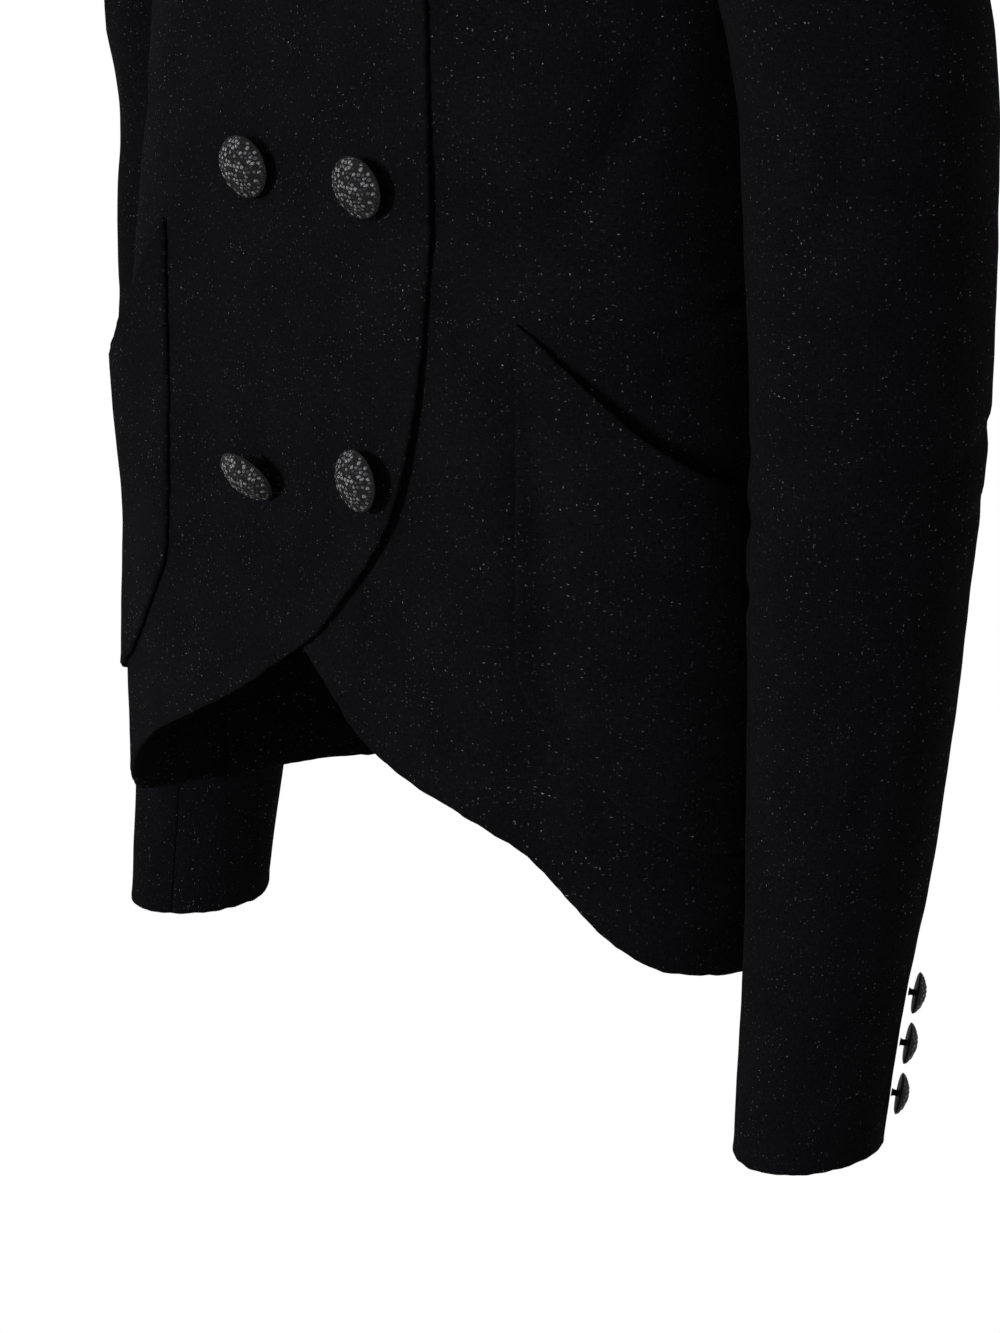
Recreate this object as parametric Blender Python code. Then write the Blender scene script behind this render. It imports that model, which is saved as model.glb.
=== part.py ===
# Double-breasted tweed jacket, collarless, with a cutaway front and large patch pockets.
# Metres, +Z up. The front faces -Y and the wearer's left is +X.
# The origin is the middle of the neck opening, level with the top of the shoulder seams.
from collections import namedtuple
from math import cos, hypot, pi, radians, sin, tan

import bpy
import numpy as np
from mathutils import Vector

# Driving sizes of the garment
WALL = 0.0025            # tweed with its backing
GAP = 0.0003             # clearance between touching pieces
SHOULDER_HALF_WIDTH = 0.184
SEAM_ANGLE = 0.05        # degrees from a side seam's middle to either piece
SHOULDER_POINT_Z = -0.048
ARMPIT_Z = -0.205
ARMHOLE_FRONT = 17.0     # degrees that the armhole bites into the front
ARMHOLE_BACK = 20.0      # and into the back
STRAIGHT_EDGE_Z = -0.300  # above this the rows lie level, below it they follow the hem
BACK_HEM_Z = -0.666
CUFF_Z = -0.742
BICEPS_Z = -0.270

# Mesh fineness
CUTAWAY_COLUMNS = 11     # from a front's free edge to its pocket
CUTAWAY_CROWDING = 1.3   # they stand closer together at the free edge
SIDE_COLUMNS = 2         # from a pocket to the side seam
POCKET_COLUMNS_ACROSS = 12
POCKET_ROWS = 10
BACK_COLUMNS = 22
SLEEVE_SIDES = 24
CAP_ROWS = 7
ARM_ROWS = 12

# Level cuts through the body, as rounded oblongs round the wearer's axis
Section = namedtuple("Section", "height half_width front_depth back_depth squareness")
BODY = (
    Section(-0.760, 0.200, 0.134, 0.136, 2.75),
    Section(-0.620, 0.200, 0.133, 0.135, 2.75),
    Section(-0.550, 0.199, 0.131, 0.128, 2.85),
    Section(-0.420, 0.194, 0.127, 0.114, 2.9),
    Section(-0.300, 0.183, 0.130, 0.112, 2.6),
    Section(-0.205, 0.175, 0.130, 0.112, 2.4),
    Section(-0.130, 0.178, 0.117, 0.109, 2.3),
    Section(-0.085, 0.184, 0.106, 0.104, 2.2),
    Section(-0.050, 0.186, 0.096, 0.096, 2.1),
    Section(-0.030, 0.148, 0.088, 0.088, 2.0),
    Section(-0.012, 0.102, 0.078, 0.078, 2.0),
    Section(0.000, 0.074, 0.068, 0.070, 2.0),
    Section(0.014, 0.066, 0.058, 0.062, 2.0),
)

# Free edge of a front, in degrees from the centre front towards its own side seam
FreeEdge = namedtuple("FreeEdge", "height angle")
FRONT_EDGE = (
    FreeEdge(-0.300, -33.5),
    FreeEdge(-0.200, -32.5),
    FreeEdge(-0.120, -31.0),
    FreeEdge(-0.040, -29.0),
)

# Neck edge, by the angle from the centre front
NeckEdge = namedtuple("NeckEdge", "angle height")
NECK = (
    NeckEdge(0.0, -0.085),
    NeckEdge(16.0, -0.080),
    NeckEdge(27.0, -0.065),
    NeckEdge(41.0, -0.030),
    NeckEdge(60.0, -0.010),
    NeckEdge(90.0, 0.000),
    NeckEdge(140.0, 0.009),
    NeckEdge(180.0, 0.012),
)

# Cutaway hem of each front, by the angle towards its own side seam
Hem = namedtuple("Hem", "angle over_front under_front")
HEM = (
    Hem(-33.5, -0.315, -0.315),
    Hem(-32.2, -0.355, -0.355),
    Hem(-30.6, -0.388, -0.388),
    Hem(-28.4, -0.418, -0.418),
    Hem(-24.0, -0.454, -0.454),
    Hem(-12.4, -0.493, -0.493),
    Hem(-3.6, -0.515, -0.515),
    Hem(7.5, -0.533, -0.540),
    Hem(15.0, -0.546, -0.558),
    Hem(26.0, -0.563, -0.573),
    Hem(37.0, -0.580, -0.583),
    Hem(48.5, -0.599, -0.600),
    Hem(55.0, -0.613, -0.620),
    Hem(61.0, -0.629, -0.641),
    Hem(69.0, -0.650, -0.657),
    Hem(80.0, -0.659, -0.663),
    Hem(90.0, -0.663, -0.664),
)

# Level cuts through a hanging sleeve: centre and half sizes, out from the body and to the front
Cut = namedtuple("Cut", "height centre_x centre_y half_width half_depth")
SLEEVE = (
    Cut(-0.742, 0.2380, -0.0300, 0.0315, 0.0410),
    Cut(-0.661, 0.2410, -0.0220, 0.0347, 0.0458),
    Cut(-0.578, 0.2455, -0.0160, 0.0397, 0.0532),
    Cut(-0.480, 0.2485, -0.0125, 0.0440, 0.0600),
    Cut(-0.380, 0.2465, -0.0040, 0.0470, 0.0660),
    Cut(-0.270, 0.2345, 0.0070, 0.0500, 0.0700),
)

# How much further back the right arm hangs
ArmBack = namedtuple("ArmBack", "height back")
RIGHT_ARM = (
    ArmBack(-0.742, 0.048),
    ArmBack(-0.600, 0.057),
    ArmBack(-0.450, 0.061),
    ArmBack(-0.340, 0.056),
    ArmBack(-0.270, 0.036),
    ArmBack(-0.205, 0.010),
)

# Sleeve seams and how the cap leaves the armhole
FRONT_SEAM_STEP = 8      # of the sleeve's sides, counted from its outer side to the front
BACK_SEAM_STEP = -4
CapPull = namedtuple("CapPull", "out up leave arrive")
CAP_AT_SHOULDER = CapPull(1.00, -0.05, 0.062, 0.110)
CAP_AT_ARMPIT = CapPull(0.35, -0.65, 0.010, 0.018)
CAP_FORWARD = 0.12

# Over front: how it stands off the front that it covers
OVERLAP_END = 35.0
OVERLAP_BLEND = 27.0
OVERLAP_EASE = 0.0007
EDGE_STAND = 0.0035
LOOSE_FROM = -32.0       # degrees where the loose edge starts
LOOSE_SPAN = 46.0
LOOSE_TOP = -0.360       # height below which the edge stands off
LOOSE_BLEND = 0.120

# Soft folds pressed into the body: middle angle, top and bottom height, half width, depth
Fold = namedtuple("Fold", "angle top bottom spread depth")
FOLD_WAVE = 0.62          # share of a half wave from a fold's top to its open end
FOLDS = (
    Fold(50.0, -0.380, -0.640, 7.0, 0.0045),
    Fold(-52.0, -0.400, -0.640, 7.0, 0.0035),
    Fold(24.0, -0.440, -0.640, 8.0, 0.0020),
    Fold(142.0, -0.300, -0.700, 9.0, 0.0045),
    Fold(176.0, -0.360, -0.700, 10.0, 0.0035),
    Fold(214.0, -0.320, -0.700, 9.0, 0.0045),
)

# Patch pocket on each front
POCKET_FRONT = 48.0
POCKET_BACK = 86.5
POCKET_CORNER = 0.026
POCKET_CORNER_SPAN = 0.26  # share of its width that a rounded corner takes
POCKET_GAPE = 0.0075
GAPE_START = 0.45        # share of its height where the pocket starts to stand off
Pocket = namedtuple("Pocket", "angle mouth bottom")
POCKET = (
    Pocket(48.0, -0.344, -0.532),
    Pocket(53.0, -0.357, -0.543),
    Pocket(59.5, -0.377, -0.563),
    Pocket(65.0, -0.395, -0.581),
    Pocket(73.0, -0.414, -0.597),
    Pocket(81.0, -0.426, -0.603),
    Pocket(86.5, -0.431, -0.604),
)

# Where each pocket sits: degrees nearer the centre front, how much higher, and its mouth's sag
PocketPlace = namedtuple("PocketPlace", "forward raised sag")
LEFT_POCKET = PocketPlace(0.0, 0.0, 0.0)
RIGHT_POCKET = PocketPlace(9.0, 0.018, 0.022)

# Covered dome buttons
BUTTON_RADIUS = 0.0152
CUFF_BUTTON_RADIUS = 0.0100
BUTTON_SIDES = 14
CUFF_BUTTON_SIDES = 10
CUFF_BUTTON_HEIGHTS = (-0.668, -0.693, -0.718)
CUFF_BUTTON_ANGLE = -50.0
CUFF_BUTTON_SAG = 3.0
CUFF_BUTTON_SHANK = 0.25

# Front buttons: place on the over front, lean in degrees and shank length over the radius
FrontButton = namedtuple("FrontButton", "row side angle height sag swing shank")
FRONT_BUTTONS = (
    FrontButton(1, "right", -11.5, -0.433, 35.0, 0.0, 0.62),
    FrontButton(1, "left", 20.5, -0.428, 4.0, -12.0, 0.36),
    FrontButton(2, "right", -11.5, -0.288, 8.0, 3.0, 0.34),
    FrontButton(2, "left", 20.5, -0.287, 11.0, -5.0, 0.34),
    FrontButton(3, "right", -11.5, -0.143, 6.0, -3.0, 0.34),
    FrontButton(3, "left", 20.5, -0.142, 9.0, 4.0, 0.34),
)

# A button from the top of its dome to the foot of its cap, over its radius
Ring = namedtuple("Ring", "radius height")
BUTTON_PROFILE = (
    Ring(0.00, 0.33),
    Ring(0.40, 0.29),
    Ring(0.74, 0.19),
    Ring(0.94, 0.05),
    Ring(1.00, -0.06),
    Ring(0.92, -0.14),
    Ring(0.55, -0.18),
    Ring(0.18, -0.20),
)

# Colour, roughness and metallic share of each material
Look = namedtuple("Look", "colour roughness metallic")
TWEED = Look((0.016, 0.016, 0.019), 0.92, 0.0)
BUTTON_COVER = Look((0.42, 0.42, 0.44), 0.38, 0.65)


def smooth_step(value):
    """Ease from 0 to 1 as value runs from 0 to 1."""
    t = np.clip(value, 0.0, 1.0)
    return t * t * (3.0 - 2.0 * t)


def smooth_table(table, where):
    """Read the columns of a table at a place in its first column, without overshoot."""
    rows = np.array(table)
    x, y = rows[:, 0], rows[:, 1:]
    where = min(max(where, x[0]), x[-1])
    k = min(int(np.searchsorted(x, where, side="right")) - 1, len(x) - 2)
    slope = np.diff(y, axis=0) / np.diff(x)[:, None]

    def tangent(i):
        if i == 0 or i == len(x) - 1:
            return slope[min(i, len(slope) - 1)]
        before, after = slope[i - 1], slope[i]
        total = before + after
        total = np.where(np.abs(total) < 1e-12, 1e-12, total)
        return np.where(before * after > 0.0, 2.0 * before * after / total, 0.0)

    step = x[k + 1] - x[k]
    t = (where - x[k]) / step
    start = (1.0 + 2.0 * t) * (1.0 - t) ** 2
    end = t * t * (3.0 - 2.0 * t)
    lean_start = t * (1.0 - t) ** 2 * step
    lean_end = t * t * (t - 1.0) * step
    return start * y[k] + end * y[k + 1] + lean_start * tangent(k) + lean_end * tangent(k + 1)


def fold_depth(angle, height):
    """How far the soft folds press the body in at an angle and a height."""
    depth = 0.0
    for middle, top, bottom, spread, deep in FOLDS:
        along = sin(pi * min(max((top - height) / (top - bottom), 0.0), 1.0) * FOLD_WAVE)
        apart = (angle - middle + 180.0) % 360.0 - 180.0
        depth += deep * along * np.exp(-((apart / spread) ** 2))
    return depth


def body_surface(angle, height):
    """Point on the body's outer surface at an angle from the centre front."""
    half_width, front, back, squareness = smooth_table(BODY, height)
    turn = radians(angle)
    depth = front if cos(turn) > 0.0 else back
    across = abs(sin(turn) / half_width) ** squareness
    along = abs(cos(turn) / depth) ** squareness
    reach = (across + along) ** (-1.0 / squareness) - fold_depth(angle, height)
    return Vector((reach * sin(turn), -reach * cos(turn), height))


def body_point(angle, height, out):
    """Point that lies the given distance outside the body's surface."""
    step = 0.0015
    side = body_surface(angle + 0.5, height) - body_surface(angle - 0.5, height)
    rise = body_surface(angle, height + step) - body_surface(angle, height - step)
    return body_surface(angle, height) + side.cross(rise).normalized() * out


def neckline(angle):
    """Height of the neck edge at an angle from the centre front."""
    around = abs((angle + 180.0) % 360.0 - 180.0)
    return smooth_table(NECK, around)[0]


def armhole(turn, bite, clear):
    """Angle and height on an armhole's edge; turn is 0 at the shoulder and pi at the armpit."""
    middle = 0.5 * (SHOULDER_POINT_Z + ARMPIT_Z)
    tall = 0.5 * (SHOULDER_POINT_Z - ARMPIT_Z) - clear
    wide = bite - np.degrees(clear / SHOULDER_HALF_WIDTH)
    return wide * sin(turn), middle + tall * cos(turn)


def row_heights():
    """Heights of the rows at the side seam, armhole and shoulder seam, from the hem up."""
    hem_rows = [(STRAIGHT_EDGE_Z, share) for share in np.linspace(0.0, 1.0, 10)]
    between = [(z, 1.0) for z in np.linspace(STRAIGHT_EDGE_Z, ARMPIT_Z, 5)[1:-1]]
    turns = np.linspace(pi, 0.0, SLEEVE_SIDES // 2 + 1)
    around = [(armhole(turn, ARMHOLE_FRONT, 0.0)[1], 1.0) for turn in turns]
    shoulder = [(z, 1.0) for z in np.linspace(SHOULDER_POINT_Z, 0.0, 6)[1:]]
    return hem_rows + between + around + shoulder


def armhole_bite(height, bite):
    """How far the armhole reaches from the side at a height, in degrees."""
    middle = 0.5 * (SHOULDER_POINT_Z + ARMPIT_Z)
    tall = 0.5 * (SHOULDER_POINT_Z - ARMPIT_Z)
    level = min(abs((height - middle) / tall), 1.0)
    return bite * (1.0 - level * level) ** 0.5


def over_lift(angle, height):
    """How far the over front stands off the body, by the angle towards its own side."""
    cover = 1.0 - smooth_step((angle - OVERLAP_END) / OVERLAP_BLEND)
    low = smooth_step((LOOSE_TOP - height) / LOOSE_BLEND)
    loose = low * (1.0 - smooth_step((angle - LOOSE_FROM) / LOOSE_SPAN))
    return cover * (WALL + GAP + OVERLAP_EASE) + EDGE_STAND * loose


def no_lift(angle, height):
    """A piece that lies on the body's own surface."""
    return 0.0


def make_cloth(name, outer, inner):
    """Closed cloth wall between two grids of points that share their rows and columns."""
    rows, columns = len(outer), len(outer[0])
    points = [p for row in outer for p in row] + [p for row in inner for p in row]
    shift = rows * columns
    faces = []
    for i in range(rows - 1):
        for j in range(columns - 1):
            a = i * columns + j
            b, c, d = a + 1, a + columns + 1, a + columns
            faces.append((a, b, c, d))
            faces.append((a + shift, d + shift, c + shift, b + shift))
    for j in range(columns - 1):
        low, high = j, (rows - 1) * columns + j
        faces.append((low, low + shift, low + shift + 1, low + 1))
        faces.append((high + 1, high + shift + 1, high + shift, high))
    for i in range(rows - 1):
        left, right = i * columns, i * columns + columns - 1
        faces.append((left + columns, left + columns + shift, left + shift, left))
        faces.append((right, right + shift, right + columns + shift, right + columns))
    return add_mesh(name, points, faces, TWEED)


def add_mesh(name, points, faces, look):
    """Add one smooth-shaded object with its own material."""
    mesh = bpy.data.meshes.new(name)
    mesh.from_pydata([tuple(p) for p in points], [], faces)
    mesh.materials.append(make_material(name, look))
    mesh.shade_smooth()
    mesh.set_sharp_from_angle(angle=radians(40.0))
    mesh.update()
    obj = bpy.data.objects.new(name, mesh)
    bpy.context.collection.objects.link(obj)
    return obj


def make_material(name, look):
    """Principled material for one sub-part."""
    material = bpy.data.materials.new(name)
    material.use_nodes = True
    shader = material.node_tree.nodes["Principled BSDF"]
    shader.inputs["Base Color"].default_value = (*look.colour, 1.0)
    shader.inputs["Roughness"].default_value = look.roughness
    shader.inputs["Metallic"].default_value = look.metallic
    return material


def front_point(share, row, hem, mirror, lift, depth):
    """Point of a front; share runs from its free edge to its side seam."""
    level, rise = row
    free_edge = smooth_table(FRONT_EDGE, level)[0]
    side = 90.0 - armhole_bite(level, ARMHOLE_FRONT) - SEAM_ANGLE
    angle = free_edge + (side - free_edge) * share
    if rise < 1.0:
        height = hem(angle) + (level - hem(angle)) * rise
    elif level > ARMPIT_Z:
        edge_at_neck = FRONT_EDGE[-1].angle
        top = neckline(edge_at_neck + (90.0 - edge_at_neck) * share)
        height = ARMPIT_Z + (level - ARMPIT_Z) * (top - ARMPIT_Z) / (0.0 - ARMPIT_Z)
    else:
        height = level
    return body_point(mirror * angle, height, lift(angle, height) - depth)


def over_hem(angle):
    """Height of the over front's cutaway hem at an angle towards its own side."""
    return smooth_table(HEM, angle)[0]


def under_hem(angle):
    """Height of the under front's cutaway hem at an angle towards its own side."""
    return smooth_table(HEM, angle)[1]


def pocket_shares():
    """Places across a pocket, closer together at its rounded corners."""
    last = POCKET_COLUMNS_ACROSS - 1
    return [0.5 - 0.5 * cos(pi * j / last) for j in range(POCKET_COLUMNS_ACROSS)]


def pocket_angle(share, forward):
    """Angle at a share of the width of a pocket that is moved forward."""
    return POCKET_FRONT + (POCKET_BACK - POCKET_FRONT) * share - forward


def front_shares(forward):
    """Places across a front, so that its columns run under the pocket's own."""
    free_edge, side = FRONT_EDGE[0].angle, 90.0 - SEAM_ANGLE
    front, back = pocket_angle(0.0, forward), pocket_angle(1.0, forward)
    angles = [
        free_edge + (front - free_edge) * (j / CUTAWAY_COLUMNS) ** CUTAWAY_CROWDING
        for j in range(CUTAWAY_COLUMNS)
    ]
    angles += [pocket_angle(share, forward) for share in pocket_shares()]
    angles += [back + (side - back) * (j + 1) / SIDE_COLUMNS for j in range(SIDE_COLUMNS)]
    return [(angle - free_edge) / (side - free_edge) for angle in angles]


def make_front(name, mirror, hem, lift, forward):
    """One front, from its free edge past the centre to the side seam."""
    rows = row_heights()
    shares = front_shares(forward)
    if mirror < 0:
        shares.reverse()

    def grid(depth):
        return [
            [front_point(share, row, hem, mirror, lift, depth) for share in shares]
            for row in rows
        ]

    return make_cloth(name, grid(0.0), grid(WALL))


def back_point(share, row, depth):
    """Point of the back; share runs from the left side seam to the right one."""
    level, rise = row
    bite = armhole_bite(level, ARMHOLE_BACK) + SEAM_ANGLE
    angle = 90.0 + bite + (180.0 - 2.0 * bite) * share
    if rise < 1.0:
        height = BACK_HEM_Z + (level - BACK_HEM_Z) * rise
    elif level > ARMPIT_Z:
        top = neckline(90.0 + 180.0 * share)
        height = ARMPIT_Z + (level - ARMPIT_Z) * (top - ARMPIT_Z) / (0.0 - ARMPIT_Z)
    else:
        height = level
    return body_point(angle, height, -depth)


def make_back(name):
    """The back, in one piece between the side seams."""
    rows = row_heights()
    shares = [j / (BACK_COLUMNS - 1) for j in range(BACK_COLUMNS)]
    outer = [[back_point(share, row, 0.0) for share in shares] for row in rows]
    inner = [[back_point(share, row, WALL) for share in shares] for row in rows]
    return make_cloth(name, outer, inner)


def sleeve_ring_point(turn, height, mirror):
    """Point on a hanging sleeve; turn is 0 on its outer side and positive to the front."""
    centre_x, centre_y, half_width, half_depth = smooth_table(SLEEVE, height)
    if mirror < 0:
        centre_y += smooth_table(RIGHT_ARM, height)[0]
    return Vector((centre_x + half_width * cos(turn), centre_y - half_depth * sin(turn), height))


def sleeve_surface(turn, rise, mirror):
    """Point on a sleeve, drawn on the left: rise is 0 at the cuff, 1 at the biceps, 2 at the armhole."""
    if rise <= 1.0:
        return sleeve_ring_point(turn, CUFF_Z + (BICEPS_Z - CUFF_Z) * rise, mirror)
    arm = sleeve_ring_point(turn, BICEPS_Z, mirror)
    upper = 0.5 * (1.0 + cos(turn))
    bite = ARMHOLE_FRONT if sin(turn) > 0.0 else ARMHOLE_BACK
    around, height = armhole(turn, bite, GAP)
    edge = body_surface(90.0 - around, height)
    pull = CapPull(*(
        low + (high - low) * upper for low, high in zip(CAP_AT_ARMPIT, CAP_AT_SHOULDER)
    ))
    leave = edge + Vector((pull.out, -CAP_FORWARD * sin(turn), pull.up)).normalized() * pull.leave
    arrive = arm + Vector((0.0, 0.0, pull.arrive))
    t = 2.0 - rise
    return (
        edge * (1.0 - t) ** 3
        + leave * (3.0 * t * (1.0 - t) ** 2)
        + arrive * (3.0 * t * t * (1.0 - t))
        + arm * t ** 3
    )


def sleeve_point(turn, rise, depth, mirror):
    """Point inside the sleeve's surface by the given depth, mirrored for the right arm."""
    small = 0.01
    low, high = max(rise - small, 0.0), min(rise + small, 2.0)
    around = sleeve_surface(turn + small, rise, mirror) - sleeve_surface(turn - small, rise, mirror)
    up = sleeve_surface(turn, high, mirror) - sleeve_surface(turn, low, mirror)
    point = sleeve_surface(turn, rise, mirror) - up.cross(around).normalized() * depth
    return Vector((point.x * mirror, point.y, point.z))


def make_sleeve_piece(name, first_step, last_step, mirror):
    """Top sleeve or under sleeve between two seams, from cuff to armhole."""
    rises = list(np.linspace(0.0, 1.0, ARM_ROWS)) + list(np.linspace(1.0, 2.0, CAP_ROWS + 1)[1:])
    step = 2.0 * pi / SLEEVE_SIDES
    seam = 0.5 * GAP / SLEEVE[0].half_width
    turns = [k * step for k in range(first_step, last_step + 1)]
    turns[0] += seam
    turns[-1] -= seam
    if mirror > 0:
        turns.reverse()

    def grid(depth):
        return [[sleeve_point(turn, rise, depth, mirror) for turn in turns] for rise in rises]

    return make_cloth(name, grid(0.0), grid(WALL))


def pocket_corner(share):
    """How far a rounded bottom corner lifts the edge at a share of the pocket's width."""
    near = min(share, 1.0 - share) / POCKET_CORNER_SPAN
    if near >= 1.0:
        return 0.0
    return POCKET_CORNER * (1.0 - (1.0 - (1.0 - near) ** 2) ** 0.5)


def make_pocket(name, mirror, place, lift):
    """Patch pocket made from the front's own points, moved out."""
    shares = pocket_shares()
    if mirror < 0:
        shares.reverse()

    def grid(depth):
        rows = []
        for i in range(POCKET_ROWS):
            up = i / (POCKET_ROWS - 1)
            row = []
            for share in shares:
                angle = pocket_angle(share, place.forward)
                mouth, bottom = smooth_table(POCKET, pocket_angle(share, 0.0))
                mouth -= place.sag * sin(pi * share)
                bottom += pocket_corner(share)
                height = bottom + (mouth - bottom) * up + place.raised
                open_up = smooth_step((up - GAPE_START) / (1.0 - GAPE_START))
                gape = POCKET_GAPE * sin(pi * share) * open_up
                out = lift(angle, height) + 2.0 * GAP + WALL + gape - depth
                row.append(body_point(mirror * angle, height, out))
            rows.append(row)
        return rows

    return make_cloth(name, grid(0.0), grid(WALL))


def make_button(name, base, outward, radius, sides, sag, swing, shank):
    """Domed covered button on a shank that leans down and sideways from its base on the cloth."""
    down = Vector((0.0, 0.0, -1.0))
    across = outward.cross(down).normalized()
    down = across.cross(outward).normalized()
    axis = (outward + down * tan(radians(sag)) + across * tan(radians(swing))).normalized()
    side = axis.cross(across).normalized()
    across = side.cross(axis).normalized()
    last = BUTTON_PROFILE[-1]
    foot = (last.height - shank) * radius
    rings = BUTTON_PROFILE[1:] + (Ring(last.radius, last.height - shank),)
    points = [base + axis * (BUTTON_PROFILE[0].height * radius - foot)]
    for ring in rings:
        for k in range(sides):
            turn = 2.0 * pi * k / sides
            around = across * cos(turn) + side * sin(turn)
            points.append(base + axis * (ring.height * radius - foot) + around * (ring.radius * radius))
    points.append(base)
    end = len(points) - 1
    faces = []
    for k in range(sides):
        after = (k + 1) % sides
        faces.append((0, 1 + k, 1 + after))
        for ring in range(len(rings) - 1):
            a, b = 1 + ring * sides + k, 1 + ring * sides + after
            faces.append((a, a + sides, b + sides, b))
        tail = 1 + (len(rings) - 1) * sides
        faces.append((tail + k, end, tail + after))
    return add_mesh(name, points, faces, BUTTON_COVER)


def body_normal(angle, height, out):
    """Direction straight out of the body at an angle and a height."""
    return (body_point(angle, height, out + 0.001) - body_point(angle, height, out)).normalized()


def make_front_buttons():
    """Three pairs of buttons down the over front."""
    for button in FRONT_BUTTONS:
        lean = radians(hypot(button.sag, button.swing))
        tilt_room = BUTTON_PROFILE[-1].radius * BUTTON_RADIUS * sin(lean)
        seat = over_lift(-button.angle, button.height) + GAP + tilt_room
        make_button(
            f"front_button_{button.row}_{button.side}",
            body_point(button.angle, button.height, seat),
            body_normal(button.angle, button.height, seat),
            BUTTON_RADIUS,
            BUTTON_SIDES,
            button.sag,
            button.swing,
            button.shank,
        )


def make_cuff_buttons(side, mirror):
    """Three buttons up the back of one cuff."""
    turn = radians(CUFF_BUTTON_ANGLE)
    for number, height in enumerate(CUFF_BUTTON_HEIGHTS):
        rise = (height - CUFF_Z) / (BICEPS_Z - CUFF_Z)
        base = sleeve_point(turn, rise, -2.0 * GAP, mirror)
        make_button(
            f"cuff_button_{number + 1}_{side}",
            base,
            (base - sleeve_point(turn, rise, GAP, mirror)).normalized(),
            CUFF_BUTTON_RADIUS,
            CUFF_BUTTON_SIDES,
            CUFF_BUTTON_SAG,
            0.0,
            CUFF_BUTTON_SHANK,
        )


def build_jacket():
    """Make every piece of the jacket."""
    for obj in list(bpy.data.objects):
        bpy.data.objects.remove(obj, do_unlink=True)
    make_front("front_right_over", -1, over_hem, over_lift, RIGHT_POCKET.forward)
    make_front("front_left_under", 1, under_hem, no_lift, LEFT_POCKET.forward)
    make_back("back")
    for side, mirror in (("left", 1), ("right", -1)):
        make_sleeve_piece(f"sleeve_top_{side}", BACK_SEAM_STEP, FRONT_SEAM_STEP, mirror)
        under_end = SLEEVE_SIDES + BACK_SEAM_STEP
        make_sleeve_piece(f"sleeve_under_{side}", FRONT_SEAM_STEP, under_end, mirror)
        make_cuff_buttons(side, mirror)
    make_pocket("pocket_left", 1, LEFT_POCKET, no_lift)
    make_pocket("pocket_right", -1, RIGHT_POCKET, over_lift)
    make_front_buttons()


build_jacket()
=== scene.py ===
"""Looks of a double-breasted, collarless tweed jacket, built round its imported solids.

Metres, +Z up. The front faces -Y, the wearer's left is +X, and the origin is the middle of the
neck opening, level with the top of the shoulder seams.
"""
import logging
import math
from dataclasses import dataclass, field
from enum import Enum
from typing import Callable

import bpy
import numpy as np
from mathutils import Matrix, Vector


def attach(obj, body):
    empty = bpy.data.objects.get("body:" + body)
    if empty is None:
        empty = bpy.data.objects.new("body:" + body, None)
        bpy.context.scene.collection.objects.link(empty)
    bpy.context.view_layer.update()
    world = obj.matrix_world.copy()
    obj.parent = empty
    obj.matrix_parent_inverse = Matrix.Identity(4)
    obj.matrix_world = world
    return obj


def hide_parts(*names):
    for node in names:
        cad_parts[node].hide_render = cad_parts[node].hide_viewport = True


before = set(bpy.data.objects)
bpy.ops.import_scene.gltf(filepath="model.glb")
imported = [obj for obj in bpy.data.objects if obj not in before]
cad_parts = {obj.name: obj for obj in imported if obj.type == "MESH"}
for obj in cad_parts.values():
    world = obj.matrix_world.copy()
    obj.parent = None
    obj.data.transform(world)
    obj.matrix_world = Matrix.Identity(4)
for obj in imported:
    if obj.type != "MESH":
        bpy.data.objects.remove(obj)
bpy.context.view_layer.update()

Array = np.ndarray
Colour = tuple[float, float, float]
Material = bpy.types.Material
Socket = bpy.types.NodeSocket
LOG = logging.getLogger("jacket")


class Side(Enum):
    """Which side of the wearer a piece is on, as the sign of its X."""

    LEFT = 1
    RIGHT = -1

    @property
    def word(self) -> str:
        """The side's name as the nodes spell it."""
        return self.name.lower()


class Edge(Enum):
    """How one edge of a cloth piece is finished."""

    TURNED = "turned"
    SEAM = "seam"


def ease(value: Array | float) -> Array:
    """Ease from 0 to 1 as the value runs from 0 to 1."""
    t = np.clip(value, 0.0, 1.0)
    return t * t * (3.0 - 2.0 * t)


def unit(vectors: Array) -> Array:
    """Vectors scaled to length one."""
    return vectors / np.maximum(np.linalg.norm(vectors, axis=-1, keepdims=True), 1e-12)


@dataclass(frozen=True)
class Table:
    """Rows of sizes that are read smoothly along their first column, without overshoot."""

    rows: tuple[tuple[float, ...], ...]

    def at(self, where: Array) -> Array:
        """Read the other columns.

        Args:
            where: places in the first column, in any shape.

        Returns:
            The columns at those places, as a last axis.
        """
        table = np.array(self.rows)
        x, y = table[:, 0], table[:, 1:]
        slope = np.diff(y, axis=0) / np.diff(x)[:, None]
        before, after = slope[:-1], slope[1:]
        total = before + after
        total = np.where(np.abs(total) < 1e-12, 1e-12, total)
        inner = np.where(before * after > 0.0, 2.0 * before * after / total, 0.0)
        tangent = np.vstack([slope[:1], inner, slope[-1:]])
        spot = np.clip(np.asarray(where, float), x[0], x[-1])
        k = np.clip(np.searchsorted(x, spot, side="right") - 1, 0, len(x) - 2)
        step = (x[k + 1] - x[k])[..., None]
        t = (spot - x[k])[..., None] / step
        return (
            (1.0 + 2.0 * t) * (1.0 - t) ** 2 * y[k]
            + t * t * (3.0 - 2.0 * t) * y[k + 1]
            + t * (1.0 - t) ** 2 * step * tangent[k]
            + t * t * (t - 1.0) * step * tangent[k + 1]
        )


@dataclass(frozen=True)
class Fold:
    """A long soft fold pressed into the body, open at its lower end."""

    angle: float
    top: float
    bottom: float
    spread: float
    depth: float


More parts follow.
